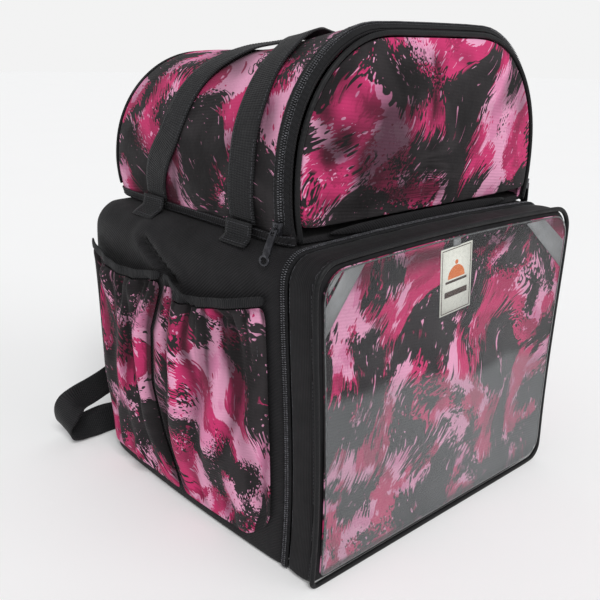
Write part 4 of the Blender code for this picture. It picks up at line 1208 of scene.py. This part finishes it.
@dataclass
class Dome(SubAssembly):
    """Camouflage upper box with its panel, band, pipings, zip and binding."""

    front_lip: float = -0.1375
    lining_top: float = 0.345
    zip_depth: float = -0.1325
    zip_half_band: float = 0.0028
    zip_foot: float = 0.3465
    middle_height: float = 0.400
    tape_seams: tuple[float, float] = (-0.1378, -0.1243)
    binding_seams: tuple[float, float] = (0.3350, 0.3425)
    piping_draw: float = 0.0019

    def padding(self, at: Vector, normal: Vector) -> Vector:
        """Quilted unevenness, with pulls above the seam.

        Args:
            at: The point.
            normal: Its way out.

        Returns:
            How far it moves.
        """
        lower = bump_at(at.z - 0.352, 0.022)
        pulls = math.sin(at.y / 0.0115 + 2.2 * ripple(at, 0.05)) * 0.0009 * lower
        wave = 0.0026 * (0.6 * ripple(at, 0.075, 1.0) + 0.4 * ripple(at, 0.035, 2.0) - 0.15)
        still = fade(at.y, -0.125, -0.10) * fade(-at.y, -0.180, -0.165)
        return normal * (wave + pulls) * still

    def crown(self, at: Vector, normal: Vector) -> Vector:
        """Slight waves of the padded front panel, with a soft upright fold in its middle.

        Args:
            at: The point.
            normal: Its way out.

        Returns:
            How far it moves.
        """
        inside = fade(0.178 - abs(at.x), 0.0, 0.03) * fade(at.z, 0.349, 0.37) * fade(0.515 - at.z, 0.0, 0.03)
        wave = 0.0018 * (0.6 * ripple(at, 0.07, 9.0) + 0.4 * ripple(at, 0.03, 4.0) - 0.2)
        fold = 0.0010 * (bump_at(at.x - 0.012, 0.006) - bump_at(at.x + 0.006, 0.006))
        return Vector((0.0, -1.0, 0.0)) * (wave + fold) * inside

    def build(self) -> None:
        """Makes the dome."""
        finishes = self.finishes
        shell = self.cloth("dome_shell", "dome_cloth", finishes.side_print, Slot.CAMOUFLAGE, 2, self.padding)
        shell.data.materials.append(finishes.body)
        for face in shell.data.polygons:
            lining = face.center.z < self.lining_top and face.normal.z > 0.5
            if face.center.y < self.front_lip or lining:
                face.material_index = 1
        panel = self.cloth("dome_front", "dome_front_panel", finishes.front_print, Slot.CAMOUFLAGE, 3, self.crown)
        self.cloth("front_band", "dome_front_band", finishes.body, Slot.CLOTH, 2)
        self.cloth("dome_piping_front", "dome_front_piping", finishes.piping, Slot.PIPING, 2)
        height, draw = self.middle_height, self.piping_draw
        self.cloth(
            "dome_piping_back", "dome_back_piping", finishes.piping, Slot.PIPING, 2, lambda at,
            normal: Vector((-at.x, 0.0, height - at.z)).normalized() * draw
        )
        tape = self.cloth("dome_zipper", "dome_zip_tape", finishes.tape, Slot.TAPE, 1)
        binding = self.cloth("seam_binding", "dome_seam_binding", finishes.body, Slot.CLOTH, 1)
        centre = (0.0, height)
        band = (self.zip_depth - self.zip_half_band, self.zip_depth + self.zip_half_band)
        crest = edge_points("dome_zipper", lambda p: band[0] < p.y < band[1], (0, 2), centre)
        line = [Vector((p.x, self.zip_depth, p.z)) for p in crest if p.z > self.zip_foot]

        def outward(at: Vector) -> Vector:
            """Way out of the dome's arch.

            Args:
                at: The point.

            Returns:
                The direction.
            """
            near = min(range(len(line)), key=lambda k: (line[k] - at).length_squared)
            run = line[min(near + 1, len(line) - 1)] - line[max(near - 1, 0)]
            out = Vector((run.z, 0.0, -run.x)).normalized()
            return out if out.dot(at - Vector((0.0, at.y, height))) > 0 else -out

        self.chain("dome_zip_chain", line, outward, tape)
        for name, y in zip(("front", "rear"), self.tape_seams):
            self.stitches("zip_tape_stitches_" + name, [Vector((p.x, y, p.z)) for p in line], tape)
        path = edge_points("seam_binding", lambda p: p.z > 0.338, (0, 1), (0.0, 0.0))
        for name, level in zip(("lower", "upper"), self.binding_seams):
            self.stitches("seam_stitches_" + name, [Vector((p.x, p.y, level)) for p in path], binding)
        LOG.info("dome zip of %d points", len(line))


@dataclass
class HandleRoute:
    """A carry handle from its left foot to the middle of the top, in millimetres."""

    node: str
    centres: tuple[Point, ...]
    acrosses: tuple[Point, ...]

    def mirrored(self) -> tuple[list[Vector], list[Vector]]:
        """The whole handle's centres and width directions.

        Returns:
            Centres and width directions, from the left foot to the right one.
        """
        centres = [Vector(point) * MM for point in self.centres]
        acrosses = [Vector(way) for way in self.acrosses]
        centres += [Vector((-p.x, p.y, p.z)) for p in reversed(centres[:-1])]
        acrosses += [Vector((-a.x, a.y, a.z)) for a in reversed(acrosses[:-1])]
        return centres, acrosses


FRONT_HANDLE = HandleRoute(
    "handle_front",
    (
        (-189.4, -73.0, 347.8), (-192.1, -73.8, 365.0), (-192.7, -74.8, 382.3), (-192.1, -75.6, 399.7),
        (-190.2, -76.0, 417.0), (-186.1, -75.8, 433.9), (-179.6, -74.8, 450.1), (-171.1, -73.2, 465.3),
        (-160.8, -71.2, 479.4), (-148.7, -69.5, 492.3), (-134.8, -67.5, 503.3), (-119.3, -63.1, 511.6),
        (-102.5, -54.7, 516.7), (-85.1, -43.4, 518.7), (-67.6, -31.5, 518.6), (-50.4, -20.2, 517.7),
        (-33.4, -8.9, 516.7), (-16.6, -0.5, 516.1), (0, 1.0, 515.9)
    ),
    (
        (0.02, 1.00, 0.00), (0.02, 1.00, -0.01), (0.02, 1.00, -0.02), (0.02, 1.00, -0.03), (0.04, 1.00, -0.05),
        (0.04, 1.00, -0.06), (0.05, 1.00, -0.08), (0.06, 0.99, -0.10), (0.07, 0.99, -0.12), (0.08, 0.99, -0.14),
        (0.07, 0.99, -0.15), (0.07, 0.98, -0.17), (0.06, 0.98, -0.17), (0.05, 0.98, -0.17), (0.04, 0.99, -0.16),
        (0.03, 0.99, -0.15), (0.02, 0.99, -0.14), (0.01, 0.99, -0.12), (0.00, 0.99, -0.12)
    ),
)
REAR_HANDLE = HandleRoute(
    "handle_rear",
    (
        (-186.5, 86.0, 347.8), (-189.1, 83.3, 363.9), (-189.8, 78.7, 380.2), (-188.7, 70.3, 396.4),
        (-185.4, 61.9, 412.4), (-180.3, 57.3, 428.0), (-173.5, 55.5, 443.0), (-164.4, 54.8, 456.8),
        (-153.7, 53.3, 469.4), (-141.6, 49.6, 480.8), (-128.3, 45.0, 490.2), (-113.7, 41.3, 497.6),
        (-98.1, 40.0, 502.6), (-82.0, 40.1, 506.0), (-65.6, 40.7, 508.4), (-49.2, 41.4, 510.4),
        (-32.8, 42.5, 512.2), (-16.4, 43.8, 513.8), (0, 45.0, 515.0)
    ),
    (
        (0.03, 1.00, 0.00), (0.03, 1.00, 0.00), (0.02, 1.00, 0.00), (0.02, 1.00, -0.01), (0.02, 1.00, -0.01),
        (0.02, 1.00, -0.01), (0.02, 1.00, -0.01), (0.02, 1.00, -0.02), (0.02, 1.00, -0.02), (0.02, 1.00, -0.03),
        (0.02, 1.00, -0.03), (0.02, 1.00, -0.04), (0.02, 1.00, -0.05), (0.02, 1.00, -0.04), (0.01, 1.00, -0.04),
        (0.01, 1.00, -0.04), (0.01, 1.00, -0.04), (0.00, 1.00, -0.04), (0.00, 1.00, -0.04)
    ),
)


@dataclass
class Handles(SubAssembly):
    """Both carry handles with their sewn feet."""

    width: float = 0.039
    thickness: float = 0.0018
    spans: int = 160
    seam_share: float = 0.44
    tab_width: float = 0.040
    tab_thickness: float = 0.0016
    tab_seam: float = 0.0165
    front_depth: float = -73.0
    front_reaches: tuple[float, ...] = (193.2, 194.0, 194.7, 195.7, 199.6, 203.0)
    rear_depth: float = 86.0
    rear_reaches: tuple[float, ...] = (190.4, 191.3, 193.5, 198.9, 203.4, 207.0)
    foot_heights: tuple[float, ...] = (348.5, 342.0, 336.0, 332.6, 329.8, 327.2)

    def build(self) -> None:
        """Makes the handles and their tabs."""
        for route in (FRONT_HANDLE, REAR_HANDLE):
            self.handle(route)
        feet = (("front", self.front_depth, self.front_reaches), ("rear", self.rear_depth, self.rear_reaches))
        for place, depth, reaches in feet:
            for side in Side:
                points = [Vector((side.value * x, depth, z)) * MM for x, z in zip(reaches, self.foot_heights)]
                self.tab("handle_tab_%s_%s" % (side.word, place), points)

    def handle(self, route: HandleRoute) -> None:
        """Makes one handle with its two rows of thread.

        Args:
            route: The way that it goes.
        """
        centres, acrosses = route.mirrored()
        webbing = self.finishes.webbing
        strap = self.strap(
            route.node, route.node + "_webbing", centres, acrosses, self.width, self.thickness, webbing,
            spans=self.spans
        )
        middles, widths = route_points(centres, self.spans), route_points(acrosses, self.spans)
        for name, share in (("fore", -self.seam_share), ("aft", self.seam_share)):
            edge = [c + a * (share * self.width) for c, a in zip(middles, widths)]
            self.stitches(route.node + "_stitches_" + name, edge, strap, slot=Slot.WEBBING)

    def tab(self, name: str, points: Sequence[Vector]) -> None:
        """Makes one sewn foot with its square of thread.

        Args:
            name: Its CAD node.
            points: Its middle line.
        """
        acrosses = [Vector((0.0, 1.0, 0.0))] * len(points)
        webbing = self.finishes.webbing
        tab = self.strap(
            name, name + "_webbing", points, acrosses, self.tab_width, self.tab_thickness, webbing, spans=16
        )
        start, end = points[0].lerp(points[-1], 0.14), points[0].lerp(points[-1], 0.86)
        across = Vector((0.0, self.tab_seam, 0.0))
        box = [start - across, start + across, end + across, end - across]
        self.stitches(name + "_stitches", box, tab, pitch=0.0030, length=0.0022, closed=True, slot=Slot.WEBBING)


@dataclass(frozen=True)
class PocketSizes:
    """Extent of one side pocket and its gathers."""

    place: str
    front: float
    rear: float
    mouth: float
    seed: float


@dataclass
class Pockets(SubAssembly):
    """Side pockets of gathered camouflage cloth with elastic bindings."""

    front: PocketSizes = PocketSizes("front", -0.1179, 0.0377, 0.262, 2.0)
    rear: PocketSizes = PocketSizes("rear", 0.0420, 0.1839, 0.262, 11.0)
    divider_rows: tuple[tuple[float, float], ...] = (
        (0.014, -0.022), (0.076, 0.006), (0.140, 0.020), (0.204, 0.013), (0.250, -0.012), (0.290, -0.021)
    )
    pleat_pitch: float = 0.0024
    pleat_depth: float = 0.0044
    swing_pitch: float = 0.0072
    swing_depth: float = 0.0056
    belly_depth: float = 0.0095
    edge_shift: float = 0.013
    mouth_lift: float = 0.009
    fullness: float = 1.18
    tallness: float = 1.02

    def rise(self, sizes: PocketSizes, share: float) -> float:
        """How far the mouth stands over its lowest point."""
        return 0.020 * abs(share - 0.45) ** 1.5 * 2.2

    def divider(self, height: float) -> float:
        """How far the fold between the pockets leans from its upright line.

        Args:
            height: Height over the floor.

        Returns:
            The lean along Y.
        """
        rows = self.divider_rows
        for (low, first), (high, second) in zip(rows, rows[1:]):
            if height < high:
                return first + (second - first) * min(max((height - low) / (high - low), 0.0), 1.0)
        return rows[-1][1]

    def gathers(self, sizes: PocketSizes, side: Side) -> Push:
        """How one pocket's cloth folds.

        Args:
            sizes: The pocket.
            side: The side of the bag.

        Returns:
            The rule that moves its points.
        """
        seed = sizes.seed + (0.0 if side is Side.LEFT else 5.0)
        fore = sizes.place == "front"

        def push(at: Vector, normal: Vector) -> Vector:
            """Folds from the mouth down, deepest just under the binding.

            Args:
                at: The point.
                normal: Its way out.

            Returns:
                How far it moves, with the painted shade as a fourth part.
            """
            share = (at.y - sizes.front) / (sizes.rear - sizes.front)
            inside = fade(share, 0.0, 0.10) * fade(1 - share, 0.0, 0.10)
            under = max(sizes.mouth + self.rise(sizes, share) - at.z, 0.0)
            sway = 1.6 * noise.noise(Vector((at.y * 14, at.z * 9, seed)))
            reach = 0.65 + 0.5 * ripple(Vector((at.y, 0.0, 0.0)), 0.02, seed)
            open_up = fade(under, 0.006, 0.020)
            pleat = math.sin(at.y / self.pleat_pitch + 2.0 * sway + seed)
            near_mouth = math.exp(-under / (0.042 * reach)) * open_up
            short = pleat * near_mouth * self.pleat_depth
            swing = math.sin(at.y / self.swing_pitch + 1.8 * sway + 0.5 * seed + at.z * 7)
            long = swing * (0.34 + math.exp(-under / 0.10)) * self.swing_depth * open_up
            belly = ripple(Vector((at.y * 1.5, at.z * 0.50, 0.0)), 0.040, seed)
            deep = self.belly_depth * belly * open_up
            mouth = 0.0012 * math.sin(at.y / 0.012 + seed)
            foot = 0.0022 * math.sin(at.y / 0.0052 + sway) * bump_at(at.z - 0.035, 0.022)
            low = fade(at.z, 0.0137, 0.030)
            out = (short + long + deep + foot + mouth) * inside * low
            beside = share if fore else 1 - share
            shift = self.divider(at.z) * fade(beside, 0.35, 1.0)
            if fore:
                shift -= self.edge_shift * fade(1 - share, 0.55, 1.0) * fade(at.z, 0.013, 0.06)
            lift = self.mouth_lift * fade(at.z, 0.16, 0.262)
            # Painted shade: dark in pleat and swing valleys and dents, just under the binding and beside the
            # divider between the pockets.
            tuck = max(-pleat, 0.0) ** 1.6 * math.exp(-under / 0.034)
            valley = max(-swing, 0.0) ** 2.5 * (0.30 + math.exp(-under / 0.10))
            beneath = math.exp(-max(under - 0.007, 0.0) / 0.006)
            dark = 1.5 * tuck + 1.1 * valley + 1.3 * max(-belly - 0.20, 0.0)
            dark += bump_at(1 - beside, 0.07) + 0.45 * beneath
            return Vector((side.value * out, shift, lift, dark * low))

        return push

    def build(self) -> None:
        """Makes the four pockets and their bindings."""
        for sizes in (self.front, self.rear):
            for side in Side:
                self.pocket(sizes, side)

    def pocket(self, sizes: PocketSizes, side: Side) -> None:
        """Makes one pocket with its binding.

        Args:
            sizes: The pocket.
            side: The side of the bag.
        """
        finishes = self.finishes
        node = "pocket_%s_%s" % (side.word, sizes.place)
        edge = "pocket_binding_%s_%s" % (side.word, sizes.place)
        push = self.gathers(sizes, side)
        cloth = self.cloth(node, node + "_cloth", finishes.pocket_print, Slot.CAMOUFLAGE, 3, push)
        band = self.cloth(
            edge, edge + "_elastic", finishes.elastic, Slot.WEBBING, 3, lambda at,
            normal: push(at, normal).to_3d() + normal * 0.0005
        )
        if sizes is self.front:
            hem = [Vector((side.value * 0.215, sizes.front - 0.0070, 0.030 + k * 0.011)) for k in range(20)]
            self.stitches(node + "_edge_stitches", hem, cloth, slot=Slot.CAMOUFLAGE)


PAD_ROUTE = (
    (60.0, 193.0, 462.0), (62.3, 195.9, 447.5), (64.8, 199.1, 432.2), (68.1, 204.7, 412.9), (72.1, 212.4, 390.1),
    (77.1, 219.2, 364.7), (83.6, 225.1, 335.9), (90.6, 229.4, 305.9), (97.5, 231.3, 276.3), (104.3, 231.0, 246.8),
    (110.2, 228.9, 219.4), (115.2, 224.7, 194.5), (120.0, 220.0, 170.0)
)
LEFT_LOOP = (
    (-127.0, 219.0, 137.0), (-128.6, 219.1, 128.2), (-131.3, 219.8, 119.3), (-137.7, 222.5, 110.0),
    (-146.9, 226.2, 100.6), (-159.0, 228.7, 91.6), (-173.7, 230.6, 83.1), (-188.5, 231.1, 76.5),
    (-203.7, 230.3, 71.6), (-218.1, 229.9, 67.2), (-232.0, 229.8, 63.5), (-242.5, 230.2, 58.2),
    (-248.6, 231.5, 50.8), (-252.5, 233.3, 42.9), (-254.9, 235.8, 34.8), (-255.0, 238.0, 27.0),
    (-252.5, 239.4, 19.3), (-247.1, 240.0, 13.5), (-237.7, 239.8, 12.4), (-225.6, 238.6, 14.4),
    (-212.4, 236.1, 16.8), (-198.4, 232.2, 19.9), (-186.6, 226.5, 21.9), (-176.8, 219.1, 22.9),
    (-168.8, 212.0, 24.0), (-162.8, 204.9, 25.3), (-157.5, 199.9, 26.2), (-153.1, 197.8, 26.4),
    (-148.2, 196.9, 26.5), (-142.2, 196.6, 26.8), (-136.0, 196.6, 27.0)
)
LEFT_LOOP_WAYS = (
    (-1.00, 0.00, 0.23), (-1.02, 0.00, 0.24), (-1.01, 0.00, 0.29), (-0.87, 0.00, 0.44), (-0.66, 0.00, 0.65),
    (-0.46, 0.00, 0.82), (-0.26, 0.00, 0.96), (-0.15, 0.00, 1.02), (-0.12, -0.01, 1.01), (-0.08, 0.01, 1.00),
    (-0.01, 0.03, 1.02), (-0.01, 0.15, 0.98), (-0.13, 0.40, 0.84), (-0.20, 0.63, 0.68), (-0.16, 0.79, 0.47),
    (-0.10, 0.90, 0.30), (-0.05, 0.93, 0.26), (0.00, 0.90, 0.29), (0.01, 0.89, 0.39), (0.00, 0.83, 0.55),
    (0.00, 0.65, 0.74), (0.00, 0.39, 0.94), (0.00, 0.22, 1.03), (0.00, 0.14, 1.01), (0.00, 0.07, 1.00),
    (0.00, 0.02, 1.00), (0.00, -0.01, 1.00), (0.00, 0.00, 1.00), (0.00, 0.00, 1.00), (0.00, 0.00, 1.00),
    (0.00, 0.00, 1.00)
)
RIGHT_RUN = (
    (127.0, 219.0, 137.0), (130.0, 219.3, 123.6), (132.9, 219.4, 110.2), (135.4, 217.8, 97.2), (137.5, 214.8, 84.4),
    (139.4, 211.3, 72.8), (141.2, 206.9, 62.8), (142.7, 202.7, 53.7), (143.9, 199.9, 45.6), (144.6, 198.0, 38.4),
    (145.2, 196.9, 31.0), (145.6, 196.6, 23.5), (146.0, 196.6, 16.0)
)
RIGHT_RUN_WAYS = (
    (1.00, 0.00, 0.23), (1.00, 0.00, 0.22), (1.00, 0.00, 0.21), (1.00, 0.00, 0.19), (1.00, 0.00, 0.17),
    (1.00, 0.00, 0.15), (1.00, 0.00, 0.13), (1.00, 0.00, 0.11), (1.00, 0.00, 0.07), (1.00, 0.00, 0.02),
    (1.00, 0.00, -0.01), (1.00, 0.00, -0.01), (1.00, 0.00, 0.00)
)


@dataclass
class CarryingStraps(SubAssembly):
    """Padded shoulder straps on the back with buckles and lower webbing."""

    pad_seam: float = 0.026
    sewn_rows: Point = (-0.014, 0.0, 0.014)
    row_width: float = 0.0022
    row_depth: float = 0.0012
    buckle_top: Point = (120.2, 220.0, 168.8)
    buckle_foot: Point = (126.8, 219.0, 138.2)
    webbing_width: float = 0.038
    webbing_thickness: float = 0.0018

    def pad(self, side: Side) -> None:
        """Makes one shoulder pad with its bound edge.

        Args:
            side: The side that it is on.
        """
        node = "shoulder_pad_" + side.word
        line = [Vector((side.value * x, y, z)) * MM for x, y, z in PAD_ROUTE]

        def swell(at: Vector, normal: Vector) -> Vector:
            """Rounds the pad and marks its three sewn rows.

            Args:
                at: The point.
                normal: Its way out.

            Returns:
                How far it moves.
            """
            near = min(line, key=lambda p: (p - at).length_squared)
            off = (at - near).x
            rows = sum(bump_at(off - place, self.row_width) for place in self.sewn_rows)
            return normal * (-self.row_depth * rows + 0.0006 * ripple(at, 0.03))

        piece = self.cloth(node, node + "_cloth", self.finishes.padding, Slot.CLOTH, 4, swell)
        for name, shift in (("inner", -self.pad_seam), ("outer", self.pad_seam)):
            edge = [p + Vector((shift, 0.008, 0.0)) for p in line[1:-1]]
            self.stitches(node + "_stitches_" + name, edge, piece)

    def buckle(self, side: Side) -> None:
        """Makes one ladder buckle: a plate with two slots and a raised grip.

        Args:
            side: The side that it is on.
        """
        node = "strap_buckle_" + side.word
        start, end = (Vector((side.value * x, y, z)) * MM for x, y, z in (self.buckle_top, self.buckle_foot))
        run = (end - start).normalized()
        across = Vector((side.value * 1.0, 0.0, 0.20))
        across = (across - run * across.dot(run)).normalized()
        out = run.cross(across)
        length = (end - start).length
        if out.y < 0:
            out = -out
            across = -across
        place = Matrix.Translation((start + end) / 2) @ Matrix((across, run, out)).transposed().to_4x4()
        whole = bmesh.new()
        bars = (
            (0.0, -0.44, 0.048, 0.0036, 0.0050),
            (0.0, 0.44, 0.048, 0.0036, 0.0050),
            (0.0, 0.02, 0.042, 0.0060, 0.0042),
            (-0.0222, 0.0, 0.0036, length, 0.0050),
            (0.0222, 0.0, 0.0036, length, 0.0050),
        )
        for x, share, wide, tall, thick in bars:
            bar = bmesh.ops.create_cube(whole, size=1.0)["verts"]
            bmesh.ops.scale(whole, vec=(wide, tall, thick), verts=bar)
            bmesh.ops.translate(whole, vec=(x, share * length, 0.0), verts=bar)
        bmesh.ops.bevel(
            whole, geom=whole.edges[:], offset=0.0009, affect="EDGES", segments=2, profile=0.5, material=-1
        )
        bmesh.ops.transform(whole, matrix=place, verts=whole.verts)
        bmesh.ops.recalc_face_normals(whole, faces=whole.faces)
        piece = new_piece(node + "_moulding", whole, self.finishes.plastic, Slot.PLASTIC)
        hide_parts(node)
        self.pieces[piece.name] = piece

    def build(self) -> None:
        """Makes both straps."""
        for side in Side:
            self.pad(side)
            self.buckle(side)
        runs = ((Side.LEFT, LEFT_LOOP, LEFT_LOOP_WAYS, 120), (Side.RIGHT, RIGHT_RUN, RIGHT_RUN_WAYS, 60))
        for side, points, ways, spans in runs:
            node = "strap_webbing_" + side.word
            centres, acrosses = [Vector(p) * MM for p in points], [Vector(w) for w in ways]
            webbing = self.finishes.webbing
            self.strap(
                node, node + "_band", centres, acrosses, self.webbing_width, self.webbing_thickness, webbing,
                spans=spans
            )


@dataclass
class ZipFittings(SubAssembly):
    """Sliders on the dome's zip and their swinging pulls."""

    breadth: float = 1.38
    rounding: float = 0.00022
    sharp_angle: float = math.radians(35)
    ring_length: float = 0.009
    head_length: float = 0.004

    def broaden(self, shell: Shell) -> None:
        """Widens a pull about its own length, less towards its head.

        Args:
            shell: The pull's mesh.
        """
        low = min(vertex.co.z for vertex in shell.verts)
        high = max(vertex.co.z for vertex in shell.verts)
        feet = [vertex.co.y for vertex in shell.verts if vertex.co.z < low + self.ring_length]
        heads = [vertex.co.y for vertex in shell.verts if vertex.co.z > high - self.head_length]
        foot, head = (min(feet) + max(feet)) / 2, (min(heads) + max(heads)) / 2
        for vertex in shell.verts:
            share = (vertex.co.z - low - 0.005) / (high - low - 0.007)
            middle = foot + (head - foot) * share
            grow = 1 + (self.breadth - 1) * fade(high - self.head_length - vertex.co.z, 0.0, 0.006)
            vertex.co.y = middle + (vertex.co.y - middle) * grow

    def build(self) -> None:
        """Makes sliders and pulls with rounded edges."""
        for side in Side:
            for kind, body in (("slider", "root"), ("pull", "pull_" + side.word)):
                node = "%s_%s" % (kind, side.word)
                shell = merged(node)
                bmesh.ops.dissolve_limit(shell, angle_limit=math.radians(2), verts=shell.verts, edges=shell.edges)
                joined = [edge for edge in shell.edges if len(edge.link_faces) == 2]
                sharp = [edge for edge in joined if edge.calc_face_angle(0) > self.sharp_angle]
                bmesh.ops.bevel(
                    shell, geom=sharp, offset=self.rounding, offset_type="OFFSET", affect="EDGES", segments=2,
                    profile=0.5, material=-1, clamp_overlap=True
                )
                if kind == "pull":
                    self.broaden(shell)
                piece = new_piece(node + "_metal", shell, self.finishes.metal, Slot.METAL, body)
                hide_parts(node)
                self.pieces[piece.name] = piece


# Scene


@dataclass(frozen=True)
class Studio:
    """Camera, floor and soft lights."""

    azimuth: float = math.radians(-41.54)
    elevation: float = math.radians(18.61)
    roll: float = math.radians(0.735)
    position: Point = (-0.6167, -0.6397, 0.5069)
    lens: float = 756.27 / 600 * 36
    surroundings: float = 0.50
    backdrop: float = 0.895
    floor_glow: float = 0.080

    def camera(self) -> None:
        """Sets the camera where the photograph was taken from."""
        data = bpy.data.cameras.new("camera")
        data.sensor_fit, data.sensor_width, data.lens = "HORIZONTAL", 36.0, self.lens
        data.clip_start, data.clip_end = 0.01, 50.0
        camera = bpy.data.objects.new("camera", data)
        bpy.context.scene.collection.objects.link(camera)
        a, e, roll = self.azimuth, self.elevation, self.roll
        back = Vector((math.sin(a) * math.cos(e), -math.cos(a) * math.cos(e), math.sin(e)))
        right = (-back).cross(Vector((0, 0, 1))).normalized()
        up = right.cross(-back)
        turned = (right * math.cos(roll) + up * math.sin(roll), up * math.cos(roll) - right * math.sin(roll), back)
        camera.matrix_world = Matrix.Translation(self.position) @ Matrix(turned).transposed().to_4x4()
        bpy.context.scene.camera = camera

    def floor(self) -> None:
        """Lays the plain pale floor."""
        sheet = bmesh.new()
        bmesh.ops.create_circle(sheet, cap_ends=True, segments=64, radius=14.0)
        mesh = bpy.data.meshes.new("floor")
        sheet.to_mesh(mesh)
        sheet.free()
        recipe = Recipe("pale_floor")
        tone = recipe.clouds(recipe.place(), 3.0, 3.0)
        shade = recipe.mixed(tone, linear(243, 243, 243), linear(245, 245, 245))
        glow = {"Emission_Color": (1.0, 1.0, 1.0, 1.0), "Emission_Strength": self.floor_glow}
        mesh.materials.append(recipe.finish(shade, 0.9, **glow))
        floor = bpy.data.objects.new("floor", mesh)
        bpy.context.scene.collection.objects.link(floor)

    def lamp(self, name: str, at: Point, spread: float, power: float) -> None:
        """Adds one broad, even light that shines at the bag.

        Args:
            name: Name of the light.
            at: Where it shines from.
            spread: How wide it looks, in degrees.
            power: Its strength.
        """
        data = bpy.data.lights.new(name, "SUN")
        data.angle, data.energy = math.radians(spread), power
        lamp = bpy.data.objects.new(name, data)
        bpy.context.scene.collection.objects.link(lamp)
        aim = Vector((0.0, 0.0, 0.25)) - Vector(at)
        lamp.matrix_world = Matrix.Translation(at) @ aim.to_track_quat("-Z", "Y").to_matrix().to_4x4()

    def build(self) -> None:
        """Sets camera, floor, lamps and the pale surroundings."""
        scene = bpy.context.scene
        self.camera()
        self.floor()
        self.lamp("high_sun", (-0.7, -1.5, 2.0), 22.0, 1.65)
        self.lamp("front_sun", (0.9, -2.0, 1.3), 40.0, 0.45)
        world = bpy.data.worlds.new("pale_surroundings")
        world.use_nodes = True
        tree = world.node_tree
        shine = tree.nodes["Background"]
        shine.inputs["Color"].default_value = (0.985, 0.99, 1.0, 1.0)
        shine.inputs["Strength"].default_value = self.surroundings
        seen = tree.nodes.new("ShaderNodeBackground")
        seen.inputs["Color"].default_value = (1.0, 1.0, 1.0, 1.0)
        seen.inputs["Strength"].default_value = self.backdrop
        choice, path = tree.nodes.new("ShaderNodeMixShader"), tree.nodes.new("ShaderNodeLightPath")
        tree.links.new(path.outputs["Is Camera Ray"], choice.inputs[0])
        tree.links.new(shine.outputs[0], choice.inputs[1])
        tree.links.new(seen.outputs[0], choice.inputs[2])
        tree.links.new(choice.outputs[0], tree.nodes["World Output"].inputs["Surface"])
        scene.world = world
        scene.view_settings.view_transform = "Standard"


def main() -> None:
    """Builds the bag piece by piece and sets the scene."""
    logging.basicConfig(level=logging.INFO, format="%(message)s")
    Studio().build()
    finishes = Finishes()
    for kind in (LowerBox, Door, Window, Dome, ZipFittings, Handles, Pockets, CarryingStraps):
        part = kind(finishes)
        part.build()
        faces = sum(len(piece.data.polygons) for piece in part.pieces.values())
        LOG.info("%s: %d pieces, %d faces", kind.__name__, len(part.pieces), faces)


if __name__ == "__main__":
    main()
